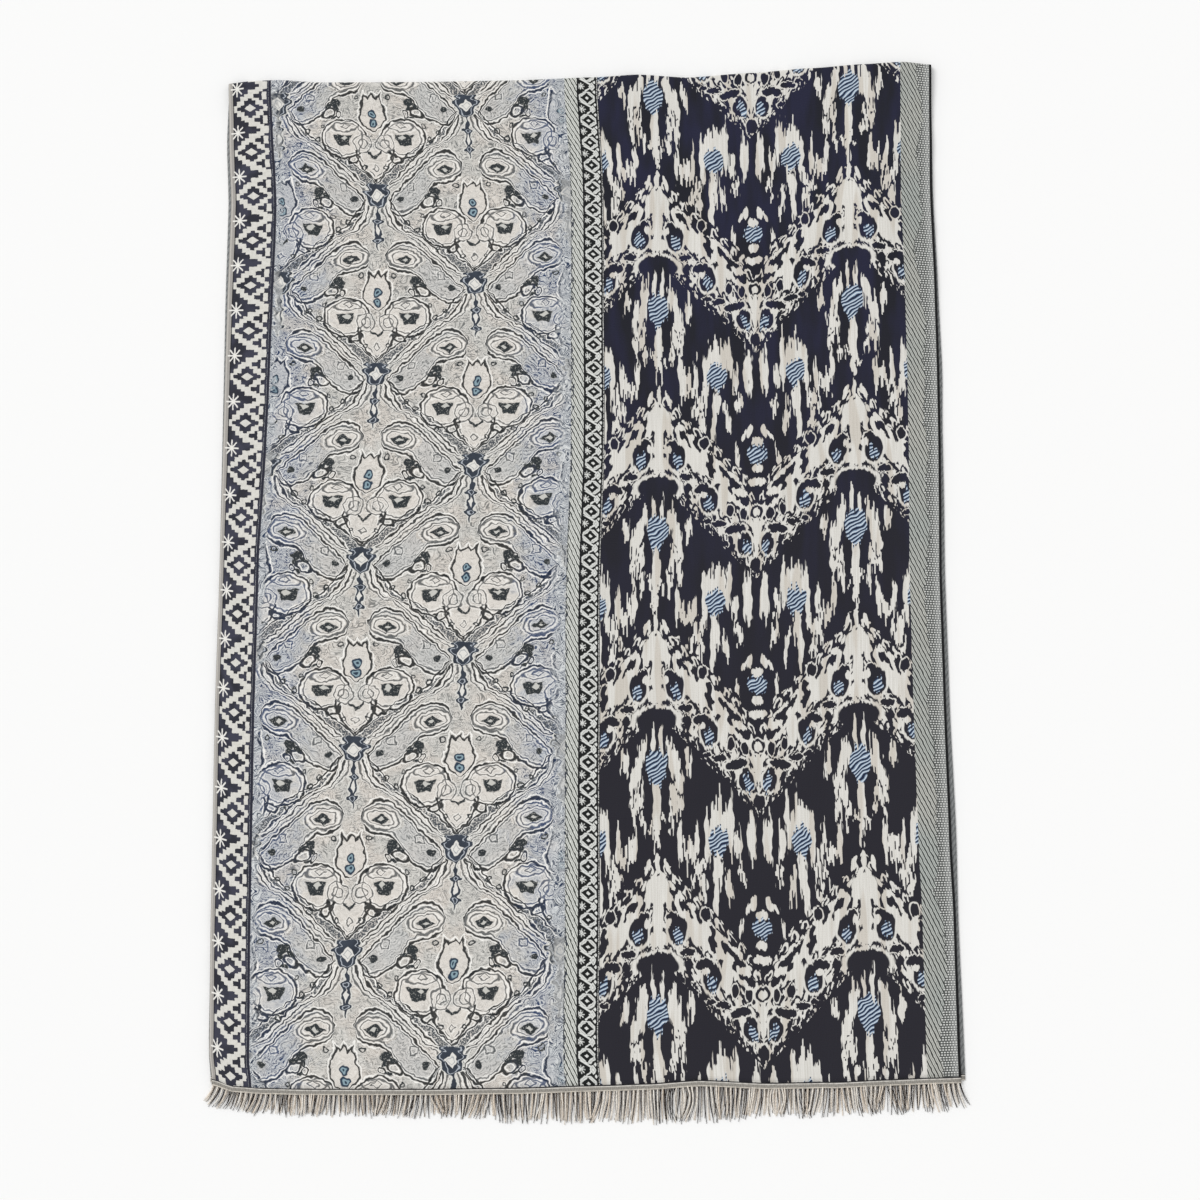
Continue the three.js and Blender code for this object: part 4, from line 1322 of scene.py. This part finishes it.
# %% [markdown]
# ## The cloth's wrong side and its finishes
# The inside of the fold shows only as thin strips at the edges, where the colours are the other
# way round and greyer. Every face takes the finish of the zone it lies in.

# %% Reverse and assignment
def reverse_material():
    board = Board("reverse_weave")
    across_mm, down_mm = board.weave_place()
    place = (down_mm / 7.4 - across_mm * 0.236).fraction()
    fine = board.noise(board.point(across_mm * 0.8, down_mm * 0.8), 1.0, detail=2.0)
    colour = board.mix(fine, "#6f7274", "#a5a7a6")
    colour = board.mix(abs(place - 0.5).below(0.2, 0.2) * 0.6, colour, "#5c5f60")
    return board.finish(colour, weave_grain(board, across_mm, down_mm))


for material in (kilim_material(), paisley_material(), twill_material(), chain_material(),
                 ikat_material(), edge_material(), reverse_material()):
    cloth.data.materials.append(material)
reverse_index = len(ZONES)
outer_zone = np.tile(zone_of_column, rows)
inner_zone = np.full(rows * columns, reverse_index)
rim_zone = np.concatenate([zone_of_column, np.full(rows, len(ZONES) - 1),
                           zone_of_column[::-1], np.zeros(rows, int)])
cloth.data.polygons.foreach_set("material_index", np.concatenate([outer_zone, inner_zone, rim_zone]))

# %% [markdown]
# ## The fringe's finishes
# The band is plain weave between two lighter picks, with a dark pick against the cloth. Cords are
# two-ply yarn: a slanted groove round each cord stands for the ply, sunk as bump and darkened with
# painted shade. Each cord's own number picks its colour between bleached cream and near-black brown.


# %% Band and cord finishes
def band_material():
    board = Board("band_weave", roughness=0.92)
    across_mm, down_mm = board.weave_place()
    beyond = down_mm - LAYER_LENGTH * 1000
    flat = board.point(across_mm, beyond * 2)
    rib = board.noise(board.point(across_mm * 1.4, beyond * 0.3), 1.0, detail=1.0)
    grey = board.mix(rib.below(0.5, 0.3), "#a19d96", "#7d7972")
    light = board.noise(flat, 0.25).below(0.55, 0.3) * 0.5 + 0.4
    colour = board.mix(beyond.near(1.5, 0.45, 0.3) * light, grey, "#dcd8d0")
    colour = board.mix(beyond.near(5.2, 0.5, 0.3) * light, colour, "#ddd5c8")
    colour = board.mix(beyond.below(0.95, 0.3), colour, "#2b2b31")
    height = rib * 0.6 + beyond.near(1.5, 0.5, 0.4) * 0.4
    return board.finish(colour, height)


def cord_material():
    board = Board("cord_yarn", roughness=0.9)
    uv = board.add("ShaderNodeUVMap", {"uv_map": "Weave"}).outputs[0]
    split = board.add("ShaderNodeSeparateXYZ", values={0: uv})
    around, run = Field(board, split.outputs[0]), Field(board, split.outputs[1])
    tone = Field(board, board.add("ShaderNodeAttribute", {"attribute_name": "tone"}).outputs["Fac"])
    ply = (around + run * 9 + tone * 7).fraction()
    groove = abs(ply - 0.5).below(0.16, 0.2)
    place = board.add("ShaderNodeTexCoord").outputs["Object"]
    mottle = board.noise(place, 380.0, detail=2.0)
    light = board.mix((tone * 2.6).least(1.0), "#fbf6ed", "#e4d6c5")
    colour = board.mix((tone * 4 - 2.4).most(0.0).least(1.0), light, "#221813")
    # painted shade: the ply's groove gets a darker copy of the cord's colour, over its bump
    colour = board.mix(groove * 0.25, colour, board.mix(tone > 0.6, "#a08c78", "#0f0d0d"))
    colour = board.mix(mottle.below(0.42, 0.2) * 0.25, colour, "#5d5148")
    return board.finish(colour, 0 - groove, distance=0.15 * MM)


band_finish, cord_finish = band_material(), cord_material()
for fringe in fringes:
    fringe.data.materials.append(band_finish)
    fringe.data.materials.append(cord_finish)

# %% [markdown]
# ## The light and the surface
# A large soft light from the upper left and a bright even surround leave a nearly white surface
# and a faint shadow on the right, as in a catalogue picture taken from above.

# %% Stage and lights
bpy.context.scene.view_settings.view_transform = "Standard"
FLOOR_SIDE = 8.0
corners = np.array([(-1, -1, 0), (1, -1, 0), (1, 1, 0), (-1, 1, 0)], float) * FLOOR_SIDE / 2
corners[:, 2] = -0.0003
floor = make_mesh("floor", corners, [[0, 1, 2, 3]])
floor_board = Board("floor_paint", roughness=0.8)
floor.data.materials.append(floor_board.finish(paint((0.955, 0.955, 0.95))))

world = bpy.data.worlds.new("studio")
bpy.context.scene.world = world
world.use_nodes = True
world.node_tree.nodes["Background"].inputs["Color"].default_value = (1, 1, 1, 1)
world.node_tree.nodes["Background"].inputs["Strength"].default_value = 0.73

sun_data = bpy.data.lights.new("window", "SUN")
sun_data.energy = 1.2
sun_data.angle = math.radians(30)
sun = bpy.data.objects.new("window", sun_data)
sun.rotation_euler = (math.radians(-22), math.radians(-38), 0)
bpy.context.collection.objects.link(sun)

# %% Bodies and hidden parts
upper_fringe, lower_fringe = fringes
for piece, node, slot in (
    (cloth, "cloth", "jacquard_cloth"),
    (upper_fringe, "fringe_upper", "fringe_yarn"),
    (lower_fringe, "fringe_lower", "fringe_yarn"),
):
    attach(piece, "root")
    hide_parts(node)
